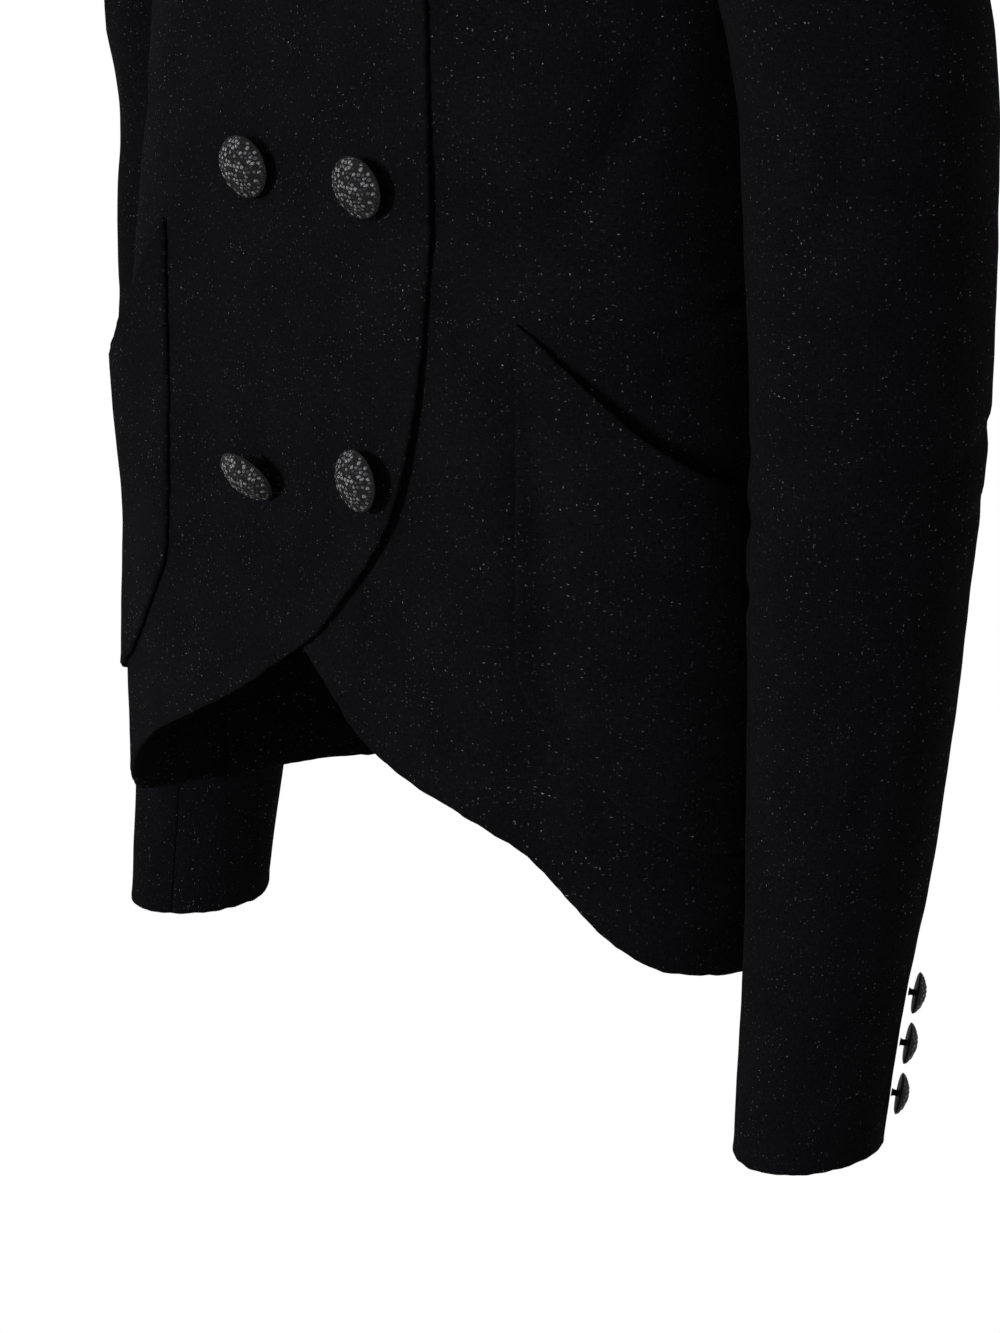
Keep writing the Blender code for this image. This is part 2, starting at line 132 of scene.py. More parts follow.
@dataclass(frozen=True)
class Crease:
    """One soft trough with raised lips, laid along a slightly bowed line.

    The line runs between two places given as (across, up) in metres on the flattened cloth.
    """

    start: tuple[float, float]
    end: tuple[float, float]
    bow: float
    width: float
    depth: float
    past_end: float = 0.12
    fade_in: float = 0.40
    lips: float = 0.9

    def press(self, across: Array, up: Array) -> Array:
        """How far this crease moves the cloth out at each place.

        Args:
            across: places across the cloth.
            up: places up the cloth.

        Returns:
            Distances along the cloth's normal, negative in the trough.
        """
        ax, ay = self.start
        bx, by = self.end
        length = math.hypot(bx - ax, by - ay)
        dx, dy = (bx - ax) / length, (by - ay) / length
        along = ((across - ax) * dx + (up - ay) * dy) / length
        off = (across - ax) * -dy + (up - ay) * dx
        off = off - self.bow * np.sin(math.pi * np.clip(along, 0.0, 1.0))
        fade = ease((along + self.past_end) / self.fade_in)
        fade = fade * ease((1.0 + self.past_end - along) / self.fade_in)
        near = (off / self.width) ** 2
        return -self.depth * fade * (1.0 - self.lips * near) * np.exp(-near)


Creases = tuple[Crease, ...]


def creases(*rows: tuple[float, ...]) -> Creases:
    """Creases from rows of start across and up, end across and up, bow, width and depth."""
    return tuple(Crease(row[:2], row[2:4], *row[4:]) for row in rows)


@dataclass(frozen=True)
class Ripple:
    """Uneven swell of the cloth from a few long waves in fixed random directions."""

    length: float
    depth: float
    seed: int
    waves: int = 7

    def press(self, points: Array) -> Array:
        """Swell at each point, positive outwards.

        Args:
            points: places in space, with x, y and z as the last axis.

        Returns:
            Distances along the normal.
        """
        chance = np.random.default_rng(self.seed)
        directions = unit(chance.normal(size=(self.waves, 3)))
        lengths = self.length * chance.uniform(0.7, 1.5, self.waves)
        phases = chance.uniform(0.0, 2.0 * math.pi, self.waves)
        swell = np.zeros(points.shape[:-1])
        for direction, length, phase in zip(directions, lengths, phases):
            swell += np.sin(points @ direction * (2.0 * math.pi / length) + phase)
        return self.depth * swell / math.sqrt(self.waves)


@dataclass(frozen=True)
class Body:
    """The worn form of the jacket's body: level cuts, soft folds, neck edge and armholes."""

    wall: float = 0.0025
    gap: float = 0.0003
    armhole_front: float = 17.0
    armhole_back: float = 20.0
    shoulder_half_width: float = 0.184
    shoulder_point: float = -0.048
    armpit: float = -0.205
    straight: float = -0.300
    back_hem: float = -0.666
    cuts: Table = Table((
        (-0.760, 0.200, 0.134, 0.136, 2.75),
        (-0.620, 0.200, 0.133, 0.135, 2.75),
        (-0.550, 0.199, 0.131, 0.128, 2.85),
        (-0.420, 0.194, 0.127, 0.114, 2.9),
        (-0.300, 0.183, 0.130, 0.112, 2.6),
        (-0.205, 0.175, 0.130, 0.112, 2.4),
        (-0.130, 0.178, 0.117, 0.109, 2.3),
        (-0.085, 0.184, 0.106, 0.104, 2.2),
        (-0.050, 0.186, 0.096, 0.096, 2.1),
        (-0.030, 0.148, 0.088, 0.088, 2.0),
        (-0.012, 0.102, 0.078, 0.078, 2.0),
        (0.000, 0.074, 0.068, 0.070, 2.0),
        (0.014, 0.066, 0.058, 0.062, 2.0),
    ))
    neck: Table = Table((
        (0.0, -0.085),
        (16.0, -0.080),
        (27.0, -0.065),
        (41.0, -0.030),
        (60.0, -0.010),
        (90.0, 0.000),
        (140.0, 0.009),
        (180.0, 0.012),
    ))
    folds: tuple[Fold, ...] = (
        Fold(50.0, -0.380, -0.640, 7.0, 0.0045),
        Fold(-52.0, -0.400, -0.640, 7.0, 0.0035),
        Fold(24.0, -0.440, -0.640, 8.0, 0.0020),
        Fold(142.0, -0.300, -0.700, 9.0, 0.0045),
        Fold(176.0, -0.360, -0.700, 10.0, 0.0035),
        Fold(214.0, -0.320, -0.700, 9.0, 0.0045),
    )
    fold_wave: float = 0.62
    grain_radius: float = 0.165
    armhole_rows: int = 60
    extra_rows: float = 4.0
    normal_step: float = 0.0015
    normal_turn: float = 0.5

    def surface(self, angle: Array, height: Array) -> Array:
        """Points of the body's outer surface.

        Args:
            angle: degrees from the centre front, towards the wearer's left.
            height: heights in metres, in the same shape.

        Returns:
            The points, as a last axis.
        """
        half_width, front, back, squareness = np.moveaxis(self.cuts.at(height), -1, 0)
        turn = np.radians(angle)
        depth = np.where(np.cos(turn) > 0.0, front, back)
        across = np.abs(np.sin(turn) / half_width) ** squareness
        along = np.abs(np.cos(turn) / depth) ** squareness
        reach = (across + along) ** (-1.0 / squareness)
        for fold in self.folds:
            wave = np.clip((fold.top - height) / (fold.top - fold.bottom), 0.0, 1.0)
            apart = (angle - fold.angle + 180.0) % 360.0 - 180.0
            press = np.sin(math.pi * self.fold_wave * wave)
            reach = reach - fold.depth * press * np.exp(-((apart / fold.spread) ** 2))
        return np.stack([reach * np.sin(turn), -reach * np.cos(turn), height], axis=-1)

    def normal(self, angle: Array, height: Array) -> Array:
        """Outward directions of the body's surface.

        Args:
            angle: degrees from the centre front.
            height: heights in metres.

        Returns:
            Unit vectors, as a last axis.
        """
        turn, step = self.normal_turn, self.normal_step
        side = self.surface(angle + turn, height) - self.surface(angle - turn, height)
        rise = self.surface(angle, height + step) - self.surface(angle, height - step)
        return unit(np.cross(side, rise))

    def neckline(self, angle: Array) -> Array:
        """Height of the neck edge at an angle from the centre front."""
        return self.neck.at(np.abs((angle + 180.0) % 360.0 - 180.0))[..., 0]

    @property
    def armhole_span(self) -> tuple[float, float]:
        """Height of an armhole's middle, and half its height."""
        return 0.5 * (self.shoulder_point + self.armpit), 0.5 * (self.shoulder_point - self.armpit)

    def bite(self, height: Array, widest: float) -> Array:
        """How many degrees an armhole reaches from the side at a height.

        Args:
            height: heights in metres.
            widest: the reach at the armhole's middle.

        Returns:
            Degrees.
        """
        middle, tall = self.armhole_span
        level = np.minimum(np.abs((height - middle) / tall), 1.0)
        return widest * np.sqrt(1.0 - level * level)

    def armhole(self, turn: Array, widest: float, clear: float) -> tuple[Array, Array]:
        """Place on an armhole's edge.

        Args:
            turn: 0 at the shoulder and pi at the armpit.
            widest: the reach at the armhole's middle, in degrees.
            clear: how far inside the edge, in metres.

        Returns:
            Degrees from the side, and height.
        """
        middle, tall = self.armhole_span
        wide = widest - math.degrees(clear / self.shoulder_half_width)
        return wide * np.sin(turn), middle + (tall - clear) * np.cos(turn)

    def rows(self, fine: float) -> tuple[Array, Array]:
        """Rows of a body piece at its side edge, from the hem up.

        Args:
            fine: the wanted distance between rows.

        Returns:
            Columns of levels, and of the share of the way from the hem to each level.
        """
        drop, tall = self.straight - self.back_hem, -self.shoulder_point
        low = crowd(drop / fine, drop, True, False)
        count = round((self.armpit - self.straight) / fine)
        between = np.linspace(self.straight, self.armpit, count + 1)[1:-1]
        around = self.armhole(np.linspace(math.pi, 0.0, self.armhole_rows), 1.0, 0.0)[1]
        high = crowd(tall / fine + self.extra_rows, tall, False, True)
        shoulder = self.shoulder_point + tall * high[1:]
        level = np.concatenate([np.full(len(low), self.straight), between, around, shoulder])
        rise = np.concatenate([low, np.ones(len(level) - len(low))])
        return level[:, None], rise[:, None]

    def heights(self, level: Array, rise: Array, hem: Array | float, top: Array) -> Array:
        """Heights of a piece's points, stretched so that its last row lies on the neck edge.

        Args:
            level: height of each row at the side edge.
            rise: share of the way from the hem to that level.
            hem: height of the hem in each column.
            top: height of the neck edge in each column.

        Returns:
            The heights.
        """
        low = np.where(rise < 1.0, hem + (level - hem) * rise, level)
        high = self.armpit + (level - self.armpit) * (top - self.armpit) / -self.armpit
        return np.where(level > self.armpit, high, low)


ROLL_STEPS = (0.0, 0.00018, 0.0006, 0.0011, 0.0018, 0.0030)
"""Distances of the first points from an edge that rolls over."""

CURVE_POINTS = 4000
"""Points that a curve is measured with."""


def crowd(count: float, length: float, at_start: bool, at_end: bool) -> Array:
    """Shares from 0 to 1 that stand close together at a rolled edge.

    Args:
        count: about how many even steps lie between.
        length: the distance that the shares run over, in metres.
        at_start: whether the start is a rolled edge.
        at_end: whether the end is one.

    Returns:
        Rising shares.
    """
    close = np.array(ROLL_STEPS) / length
    first = close if at_start else np.array([0.0])
    last = (1.0 - close)[::-1] if at_end else np.array([1.0])
    middle = np.linspace(first[-1], last[0], max(round(count), 2) + 1)[1:-1]
    return np.concatenate([first, middle, last])


def spaced(curve: Callable[[Array], Array], start: float, end: float, fine: float) -> Array:
    """Places between two ends that lie evenly along a curve, crowded at both ends.

    Args:
        curve: gives points of the curve, as a last axis, for an array of places.
        start: the first place.
        end: the last place.
        fine: the wanted distance along the curve.

    Returns:
        The places.
    """
    places = np.linspace(start, end, CURVE_POINTS)
    points = curve(places)
    walked = np.concatenate([[0.0], np.cumsum(np.linalg.norm(np.diff(points, axis=0), axis=-1))])
    shares = crowd(walked[-1] / fine, walked[-1], True, True)
    return np.interp(shares * walked[-1], walked, places)


def climb_of(points: Array) -> Array:
    """Distance up the cloth from the bottom row, along each column."""
    steps = np.linalg.norm(np.diff(points, axis=0), axis=-1)
    return np.concatenate([np.zeros((1, points.shape[1])), np.cumsum(steps, axis=0)], axis=0)


def distance_to(points: Array, line: Array) -> Array:
    """Shortest distance from each grid point to a line of points.

    Args:
        points: rows of points.
        line: the points of the line, in order.

    Returns:
        One distance for each point.
    """
    start, leg = line[:-1], np.diff(line, axis=0)
    square = np.maximum((leg * leg).sum(axis=-1), 1e-16)
    found = []
    for row in points:
        away = row[:, None, :] - start[None]
        share = np.clip((away * leg).sum(axis=-1) / square, 0.0, 1.0)
        found.append(np.linalg.norm(away - leg * share[..., None], axis=-1).min(axis=1))
    return np.array(found)


def quads(index: Array) -> Array:
    """Faces of a grid of point numbers, four points each."""
    corners = (index[:-1, :-1], index[:-1, 1:], index[1:, 1:], index[1:, :-1])
    return np.stack(corners, axis=-1).reshape(-1, 4)


def wrapped(index: Array) -> Array:
    """A grid of point numbers with its first column again as its last."""
    return np.hstack([index, index[:, :1]])


TURNED_OVER = [0, 3, 2, 1]
"""Order of a face's points that turns it the other way."""


def add_object(
    name: str, points: Array, faces: Array, grain: Array, finish: Material
) -> bpy.types.Object:
    """Add one smooth piece that carries its grain places as an attribute.

    Args:
        name: the piece's name.
        points: its points.
        faces: its faces, four points each.
        grain: three values for each point, read by the finishes.
        finish: its material.

    Returns:
        The new object.
    """
    mesh = bpy.data.meshes.new(name)
    mesh.vertices.add(len(points))
    mesh.vertices.foreach_set("co", np.ascontiguousarray(points, np.float32).ravel())
    mesh.loops.add(faces.size)
    mesh.loops.foreach_set("vertex_index", np.ascontiguousarray(faces, np.int32).ravel())
    mesh.polygons.add(len(faces))
    mesh.polygons.foreach_set("loop_start", np.arange(len(faces), dtype=np.int32) * faces.shape[1])
    mesh.update(calc_edges=True)
    mesh.validate()
    mesh.shade_smooth()
    values = mesh.attributes.new("grain", "FLOAT_VECTOR", "POINT")
    values.data.foreach_set("vector", np.ascontiguousarray(grain, np.float32).ravel())
    mesh.materials.append(finish)
    obj = bpy.data.objects.new(name, mesh)
    bpy.context.scene.collection.objects.link(obj)
    return obj


@dataclass
class ClothWall:
    """A closed wall of cloth whose edges roll over, made from its outer surface."""

    name: str
    points: Array
    normals: Array
    across: Array
    up: Array
    wall: float
    grain_step: float = 0.0
    shaping: float = 0.0
    first: Edge = Edge.TURNED
    last: Edge = Edge.TURNED
    bottom: Edge = Edge.TURNED
    top: Edge = Edge.TURNED
    turned_swell: float = 0.0006
    swell_reach: float = 0.010
    seam_dip: float = 0.0006
    seam_reach: float = 0.0035
    seam_roll: float = 0.75
    edge_wobble: float = 0.00024
    edge_wobble_reach: float = 0.006
    nub: float = 0.008
    nub_seeds: tuple[int, int, int] = (21, 22, 23)
    crease_clear: float = 0.012
    crease_at_edge: float = 0.25
    turn_up: float = 0.028
    turn_up_depth: float = 0.0006
    turn_up_soft: float = 0.0025
    turn_up_start: float = 0.003
    creases: Creases = ()
    ripples: tuple[Ripple, ...] = (Ripple(0.085, 0.00050, 3), Ripple(0.022, 0.00013, 8))

    def dress(
        self, finish: Material, node: str, rests_on: list[str]
    ) -> None:
        """Make the wall, hide the solid that it stands for, and log the size it was cut to.

        Args:
            finish: the cloth's material.
            node: the solid that it replaces.
            rests_on: the nodes that it hangs from or lies on; not used.
        """
        obj = self.build(finish)
        width, length, area = self.cut_size()
        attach(obj, "root")
        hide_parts(node)
        LOG.info("%s: cut %.3f by %.3f m, %d faces", obj.name, width, length, len(obj.data.polygons))

    def build(self, finish: Material) -> bpy.types.Object:
        """Make the wall.

        Args:
            finish: the cloth's material.

        Returns:
            The new object.
        """
        turned, seam = self.distance(Edge.TURNED), self.distance(Edge.SEAM)
        clear_of_edge = ease(np.minimum(turned, seam) / self.crease_clear)
        press = -self.seam_dip * np.exp(-((seam / self.seam_reach) ** 2))
        for ripple in self.ripples:
            press = press + ripple.press(self.points)
        for crease in self.creases:
            held = self.crease_at_edge + (1.0 - self.crease_at_edge) * clear_of_edge
            press = press + crease.press(self.across, self.up) * held
        swell = self.turned_swell * (1.0 - ease(turned / self.swell_reach))
        base = self.points + self.normals * (press + 0.5 * swell)[..., None]
        nubs = [Ripple(self.nub, self.edge_wobble, seed).press(self.points) for seed in self.nub_seeds]
        near_edge = np.exp(-((turned / self.edge_wobble_reach) ** 2))
        base = base + np.stack(nubs, axis=-1) * near_edge[..., None]
        half = 0.5 * (self.wall + swell)
        ridge = ease((self.turn_up - turned) / self.turn_up_soft) * ease(turned / self.turn_up_start)
        wall = 2.0 * half + self.turn_up_depth * ridge
        inset = np.zeros_like(half)
        for distance, reach in ((turned, half), (seam, self.seam_roll * half)):
            short = np.clip(1.0 - distance / reach, 0.0, 1.0)
            inset = np.maximum(inset, half * (1.0 - np.sqrt(1.0 - short * short)))
        outer = base - self.normals * inset[..., None]
        inner = base - self.normals * (wall - inset)[..., None]
        return self.close(outer, inner, finish)

    def distance(self, kind: Edge) -> Array:
        """Distance of each point from the nearest edge of one kind."""
        lines = (
            (self.first, self.points[:, 0]),
            (self.last, self.points[:, -1]),
            (self.bottom, self.points[0]),
            (self.top, self.points[-1]),
        )
        nearest = np.full(self.points.shape[:2], 1.0)
        for edge, line in lines:
            if edge is kind:
                nearest = np.minimum(nearest, distance_to(self.points, line))
        return nearest

    def close(self, outer: Array, inner: Array, finish: Material) -> bpy.types.Object:
        """Join the outer and inner faces along their shared border.

        Args:
            outer: rows of outer points.
            inner: rows of inner points, the same as the outer ones on the border.
            finish: the cloth's material.

        Returns:
            The new object.
        """
        rows, columns = outer.shape[:2]
        outside = np.arange(rows * columns).reshape(rows, columns)
        inside = outside.copy()
        held = np.zeros((rows, columns), bool)
        held[1:-1, 1:-1] = True
        inside[held] = rows * columns + np.arange(held.sum())
        points = np.concatenate([outer.reshape(-1, 3), inner[held]])
        across, up = self.across + self.grain_step, self.up + self.grain_step
        place = np.stack([across, up, np.zeros_like(up)], axis=-1)
        back = np.stack([across, up, np.ones_like(up)], axis=-1)
        grain = np.concatenate([place.reshape(-1, 3), back[held]])
        faces = np.concatenate([quads(outside), quads(inside)[:, TURNED_OVER]])
        return add_object(self.name, points, faces, grain, finish)

    def cut_size(self) -> tuple[float, float, float]:
        """Width, length and area of the flat piece that this wall was cut from."""
        level = np.diff(self.points, axis=1)[..., :2]
        width = float(np.linalg.norm(level, axis=-1).sum(axis=1).max())
        length = float(np.ptp(self.up)) + self.shaping
        side = self.points[:-1, 1:] - self.points[:-1, :-1]
        rise = self.points[1:, :-1] - self.points[:-1, :-1]
        area = float(np.linalg.norm(np.cross(side, rise), axis=-1).sum())
        return width, length, min(area, width * length)


@dataclass(frozen=True)
class Front:
    """One front of the body, from its free edge past the centre to its side seam."""

    body: Body
    side: Side
    over: bool
    pocket: "PocketPlace"
    overlap_end: float = 35.0
    overlap_blend: float = 27.0
    overlap_ease: float = 0.0007
    edge_stand: float = 0.0035
    loose_from: float = -32.0
    loose_span: float = 46.0
    loose_top: float = -0.360
    loose_blend: float = 0.120
    fine: float = 0.0034
    over_chest: float = 0.045
    free_edge: Table = Table(((-0.300, -33.5), (-0.200, -32.5), (-0.120, -31.0), (-0.040, -29.0)))
    hem: Table = Table((
        (-33.5, -0.315, -0.315),
        (-32.2, -0.355, -0.355),
        (-30.6, -0.388, -0.388),
        (-28.4, -0.418, -0.418),
        (-24.0, -0.454, -0.454),
        (-12.4, -0.493, -0.493),
        (-3.6, -0.515, -0.515),
        (7.5, -0.533, -0.540),
        (15.0, -0.546, -0.558),
        (26.0, -0.563, -0.573),
        (37.0, -0.580, -0.583),
        (48.5, -0.599, -0.600),
        (55.0, -0.613, -0.620),
        (61.0, -0.629, -0.641),
        (69.0, -0.650, -0.657),
        (80.0, -0.659, -0.663),
        (90.0, -0.663, -0.664),
    ))
    creases: Creases = ()

    @property
    def name(self) -> str:
        """The name of the solid that this front stands for."""
        return f"front_{self.side.word}_{'over' if self.over else 'under'}"

    def lift(self, angle: Array, height: Array) -> Array:
        """How far this front stands off the body.

        Args:
            angle: degrees from the centre front towards its own side.
            height: heights in metres.

        Returns:
            Distances outwards.
        """
        if not self.over:
            return np.zeros_like(angle)
        cover = 1.0 - ease((angle - self.overlap_end) / self.overlap_blend)
        low = ease((self.loose_top - height) / self.loose_blend)
        loose = low * (1.0 - ease((angle - self.loose_from) / self.loose_span))
        return cover * (self.body.wall + self.body.gap + self.overlap_ease) + self.edge_stand * loose

    def point(self, angle: Array, height: Array, out: Array | float) -> tuple[Array, Array]:
        """Points off this front's surface, and the outward directions there.

        Args:
            angle: degrees from the centre front towards its own side.
            height: heights in metres.
            out: extra distance outwards.

        Returns:
            Points and unit vectors.
        """
        turned = self.side.value * angle
        normals = self.body.normal(turned, height)
        lift = self.lift(angle, height) + out
        return self.body.surface(turned, height) + normals * np.asarray(lift)[..., None], normals

    def across_order(self, points: Array, normals: Array, angle: Array, height: Array) -> list[Array]:
        """A grid drawn on this front, in columns that run towards the wearer's left.

        Args:
            points: rows of points.
            normals: outward directions there.
            angle: degrees towards this front's own side.
            height: heights in metres.

        Returns:
            Points, normals, and places across and up the cloth.
        """
        way = self.side.value
        across = way * np.radians(angle) * self.body.grain_radius
        return [grid[:, ::way] for grid in (points, normals, across, height)]

    def hem_line(self, angle: Array) -> Array:
        """The hem drawn flat, for even columns."""
        return np.stack([np.radians(angle) * self.body.grain_radius, self.hem_height(angle)], axis=-1)

    def hem_height(self, angle: Array) -> Array:
        """Height of the cutaway hem at angles towards this front's own side."""
        return self.hem.at(angle)[..., 0 if self.over else 1]

    def build(self, finish: Material) -> None:
        """Make this front, and hide the solid that it stands for.

        Args:
            finish: the cloth's material.
        """
        body = self.body
        free = self.free_edge.rows[0][1]
        shares = (spaced(self.hem_line, free, 90.0, self.fine) - free) / (90.0 - free)
        level, rise = body.rows(self.fine)
        start = self.free_edge.at(level)[..., 0]
        end = 90.0 - body.bite(level, body.armhole_front)
        angle = start + (end - start) * shares[None, :]
        at_neck = self.free_edge.rows[-1][1]
        top = body.neckline(at_neck + (90.0 - at_neck) * shares)[None, :]
        level = np.broadcast_to(level, angle.shape)
        height = body.heights(level, rise, self.hem_height(angle), top)
        left_is_free = self.side is Side.LEFT
        ClothWall(
            f"{self.name}_cloth",
            *self.across_order(*self.point(angle, height, 0.0), angle, height),
            body.wall,
            shaping=self.over_chest,
            first=Edge.TURNED if left_is_free else Edge.SEAM,
            last=Edge.SEAM if left_is_free else Edge.TURNED,
            creases=self.creases,
        ).dress(finish, self.name, ["back"])


@dataclass(frozen=True)
class Back:
    """The back of the body, in one piece between the side seams."""

    body: Body
    fine: float = 0.0033
    over_shoulders: float = 0.035
    creases: Creases = ()

    def build(self, finish: Material) -> None:
        """Make the back, and hide the solid that it stands for.

        Args:
            finish: the cloth's material.
        """
        body = self.body
        span = math.pi * body.grain_radius
        shares = crowd(span / self.fine, span, True, True)
        level, rise = body.rows(self.fine)
        bite = body.bite(level, body.armhole_back)
        angle = 90.0 + bite + (180.0 - 2.0 * bite) * shares[None, :]
        level = np.broadcast_to(level, angle.shape)
        top = body.neckline(90.0 + 180.0 * shares)[None, :]
        height = body.heights(level, rise, body.back_hem, top)
        ClothWall(
            "back_cloth",
            body.surface(angle, height),
            body.normal(angle, height),
            np.radians(angle) * body.grain_radius,
            height,
            body.wall,
            shaping=self.over_shoulders,
            first=Edge.SEAM,
            last=Edge.SEAM,
            creases=self.creases,
        ).dress(finish, "back", ["front_right_over", "front_left_under"])


@dataclass(frozen=True)
class Sleeve:
    """A two-piece sleeve that hangs from its armhole, a little bent at the elbow."""

    body: Body
    side: Side
    cuff: float = -0.742
    biceps: float = -0.270
    round_sides: int = 24
    front_seam: int = 8
    back_seam: int = -4
    shoulder_pull: tuple[float, float, float, float] = (1.00, -0.05, 0.062, 0.110)
    armpit_pull: tuple[float, float, float, float] = (0.35, -0.65, 0.010, 0.018)
    cap_forward: float = 0.12
    fine: float = 0.0031
    cap_rows: int = 62
    tuck_steps: tuple[float, ...] = (0.0010, 0.0018, 0.0024, 0.0028, 0.0030)
    cuts: Table = Table((
        (-0.742, 0.2380, -0.0300, 0.0315, 0.0410),
        (-0.661, 0.2410, -0.0220, 0.0347, 0.0458),
        (-0.578, 0.2455, -0.0160, 0.0397, 0.0532),
        (-0.480, 0.2485, -0.0125, 0.0440, 0.0600),
        (-0.380, 0.2465, -0.0040, 0.0470, 0.0660),
        (-0.270, 0.2345, 0.0070, 0.0500, 0.0700),
    ))
    right_arm: Table = Table((
        (-0.742, 0.048),
        (-0.600, 0.057),
        (-0.450, 0.061),
        (-0.340, 0.056),
        (-0.270, 0.036),
        (-0.205, 0.010),
    ))
    creases: Creases = ()

    def hanging(self, turn: Array, height: Array) -> Array:
        """Points of the hanging part, drawn on the wearer's left.

        Args:
            turn: 0 on the sleeve's outer side and positive to the front.
            height: heights in metres.

        Returns:
            The points, as a last axis.
        """
        centre_x, centre_y, half_width, half_depth = np.moveaxis(self.cuts.at(height), -1, 0)
        if self.side is Side.RIGHT:
            centre_y = centre_y + self.right_arm.at(height)[..., 0]
        x = centre_x + half_width * np.cos(turn)
        y = centre_y - half_depth * np.sin(turn)
        return np.stack([x, y, np.broadcast_to(height, x.shape)], axis=-1)

    def surface(self, turn: Array, rise: Array) -> Array:
        """Points of the whole sleeve, drawn on the wearer's left.

        Args:
            turn: 0 on the sleeve's outer side and positive to the front.
            rise: 0 at the cuff, 1 at the biceps and 2 at the armhole.

        Returns:
            The points, as a last axis.
        """
        low = self.hanging(turn, self.cuff + (self.biceps - self.cuff) * np.minimum(rise, 1.0))
        arm = self.hanging(turn, np.full_like(turn, self.biceps))
        body = self.body
        upper = 0.5 * (1.0 + np.cos(turn))
        front_around, height = body.armhole(turn, body.armhole_front, body.gap)
        back_around, _ = body.armhole(turn, body.armhole_back, body.gap)
        around = np.where(np.sin(turn) > 0.0, front_around, back_around)
        edge = body.surface(90.0 - around, height)
        pulls = [a + (b - a) * upper for a, b in zip(self.armpit_pull, self.shoulder_pull)]
        out, climb, leaving, arriving = pulls
        heading = unit(np.stack([out, -self.cap_forward * np.sin(turn), climb], axis=-1))
        leave = edge + heading * leaving[..., None]
        arrive = arm + np.stack([0.0 * arriving, 0.0 * arriving, arriving], axis=-1)
        t = (2.0 - np.maximum(rise, 1.0))[..., None]
        cap = (
            edge * (1.0 - t) ** 3
            + leave * (3.0 * t * (1.0 - t) ** 2)
            + arrive * (3.0 * t * t * (1.0 - t))
            + arm * t ** 3
        )
        return np.where(rise[..., None] <= 1.0, low, cap)

    def normal(self, turn: Array, rise: Array) -> Array:
        """Outward directions of the sleeve, drawn on the wearer's left."""
        small = 0.01
        around = self.surface(turn + small, rise) - self.surface(turn - small, rise)
        high = self.surface(turn, np.minimum(rise + small, 2.0))
        low = self.surface(turn, np.maximum(rise - small, 0.0))
        return unit(np.cross(high - low, around))

    def point(self, turn: Array, rise: Array, out: float) -> tuple[Array, Array]:
        """Points off the sleeve's surface on its own side of the wearer.

        Args:
            turn: 0 on the sleeve's outer side and positive to the front.
            rise: 0 at the cuff, 1 at the biceps and 2 at the armhole.
            out: distance outwards.

        Returns:
            Points and unit vectors.
        """
        normals = self.normal(turn, rise)
        points = self.surface(turn, rise) + normals * out
        flip = np.array([self.side.value, 1.0, 1.0])
        return points * flip, normals * flip

    def build_piece(self, word: str, first: int, last: int, finish: Material) -> None:
        """Make the top sleeve or the under sleeve.

        Args:
            word: "top" or "under".
            first: the seam where it starts, in sides of the sleeve's round.
            last: the seam where it ends.
            finish: the cloth's material.
        """
        step = 2.0 * math.pi / self.round_sides
        radius = self.cuts.rows[-1][3]
        span = (last - first) * step * radius
        shares = crowd(span / self.fine, span, True, True)
        turns = (first + (last - first) * shares) * step
        tall = self.biceps - self.cuff
        cap = np.linspace(1.0, 2.0, self.cap_rows)[1:]
        rises = np.concatenate([crowd(tall / self.fine, tall, True, False), cap])
        if self.side is Side.LEFT:
            turns = turns[::-1]
        turn, rise = np.meshgrid(turns, rises)
        points, normals = self.point(turn, rise, 0.0)
        heading = unit(points[-1] - points[-2])
        tucked = [points[-1] + heading * step for step in self.tuck_steps]
        points = np.concatenate([points, np.array(tucked)])
        normals = np.concatenate([normals, np.repeat(normals[-1:], len(tucked), axis=0)])
        turn = np.concatenate([turn, np.repeat(turn[-1:], len(tucked), axis=0)])
        node = f"sleeve_{word}_{self.side.word}"
        front = "front_left_under" if self.side is Side.LEFT else "front_right_over"
        ClothWall(
            f"{node}_cloth",
            points,
            normals,
            turn * radius,
            climb_of(points),
            self.body.wall,
            first=Edge.SEAM,
            last=Edge.SEAM,
            top=Edge.SEAM,
            creases=self.creases,
        ).dress(finish, node, [front, "back"])

    def build(self, finish: Material) -> None:
        """Make both pieces of the sleeve in the cloth's material."""
        self.build_piece("top", self.back_seam, self.front_seam, finish)
        self.build_piece("under", self.front_seam, self.round_sides + self.back_seam, finish)


@dataclass(frozen=True)
class PocketPlace:
    """Where a pocket sits: degrees nearer the centre front, how much higher, its mouth's sag."""

    forward: float
    raised: float
    sag: float


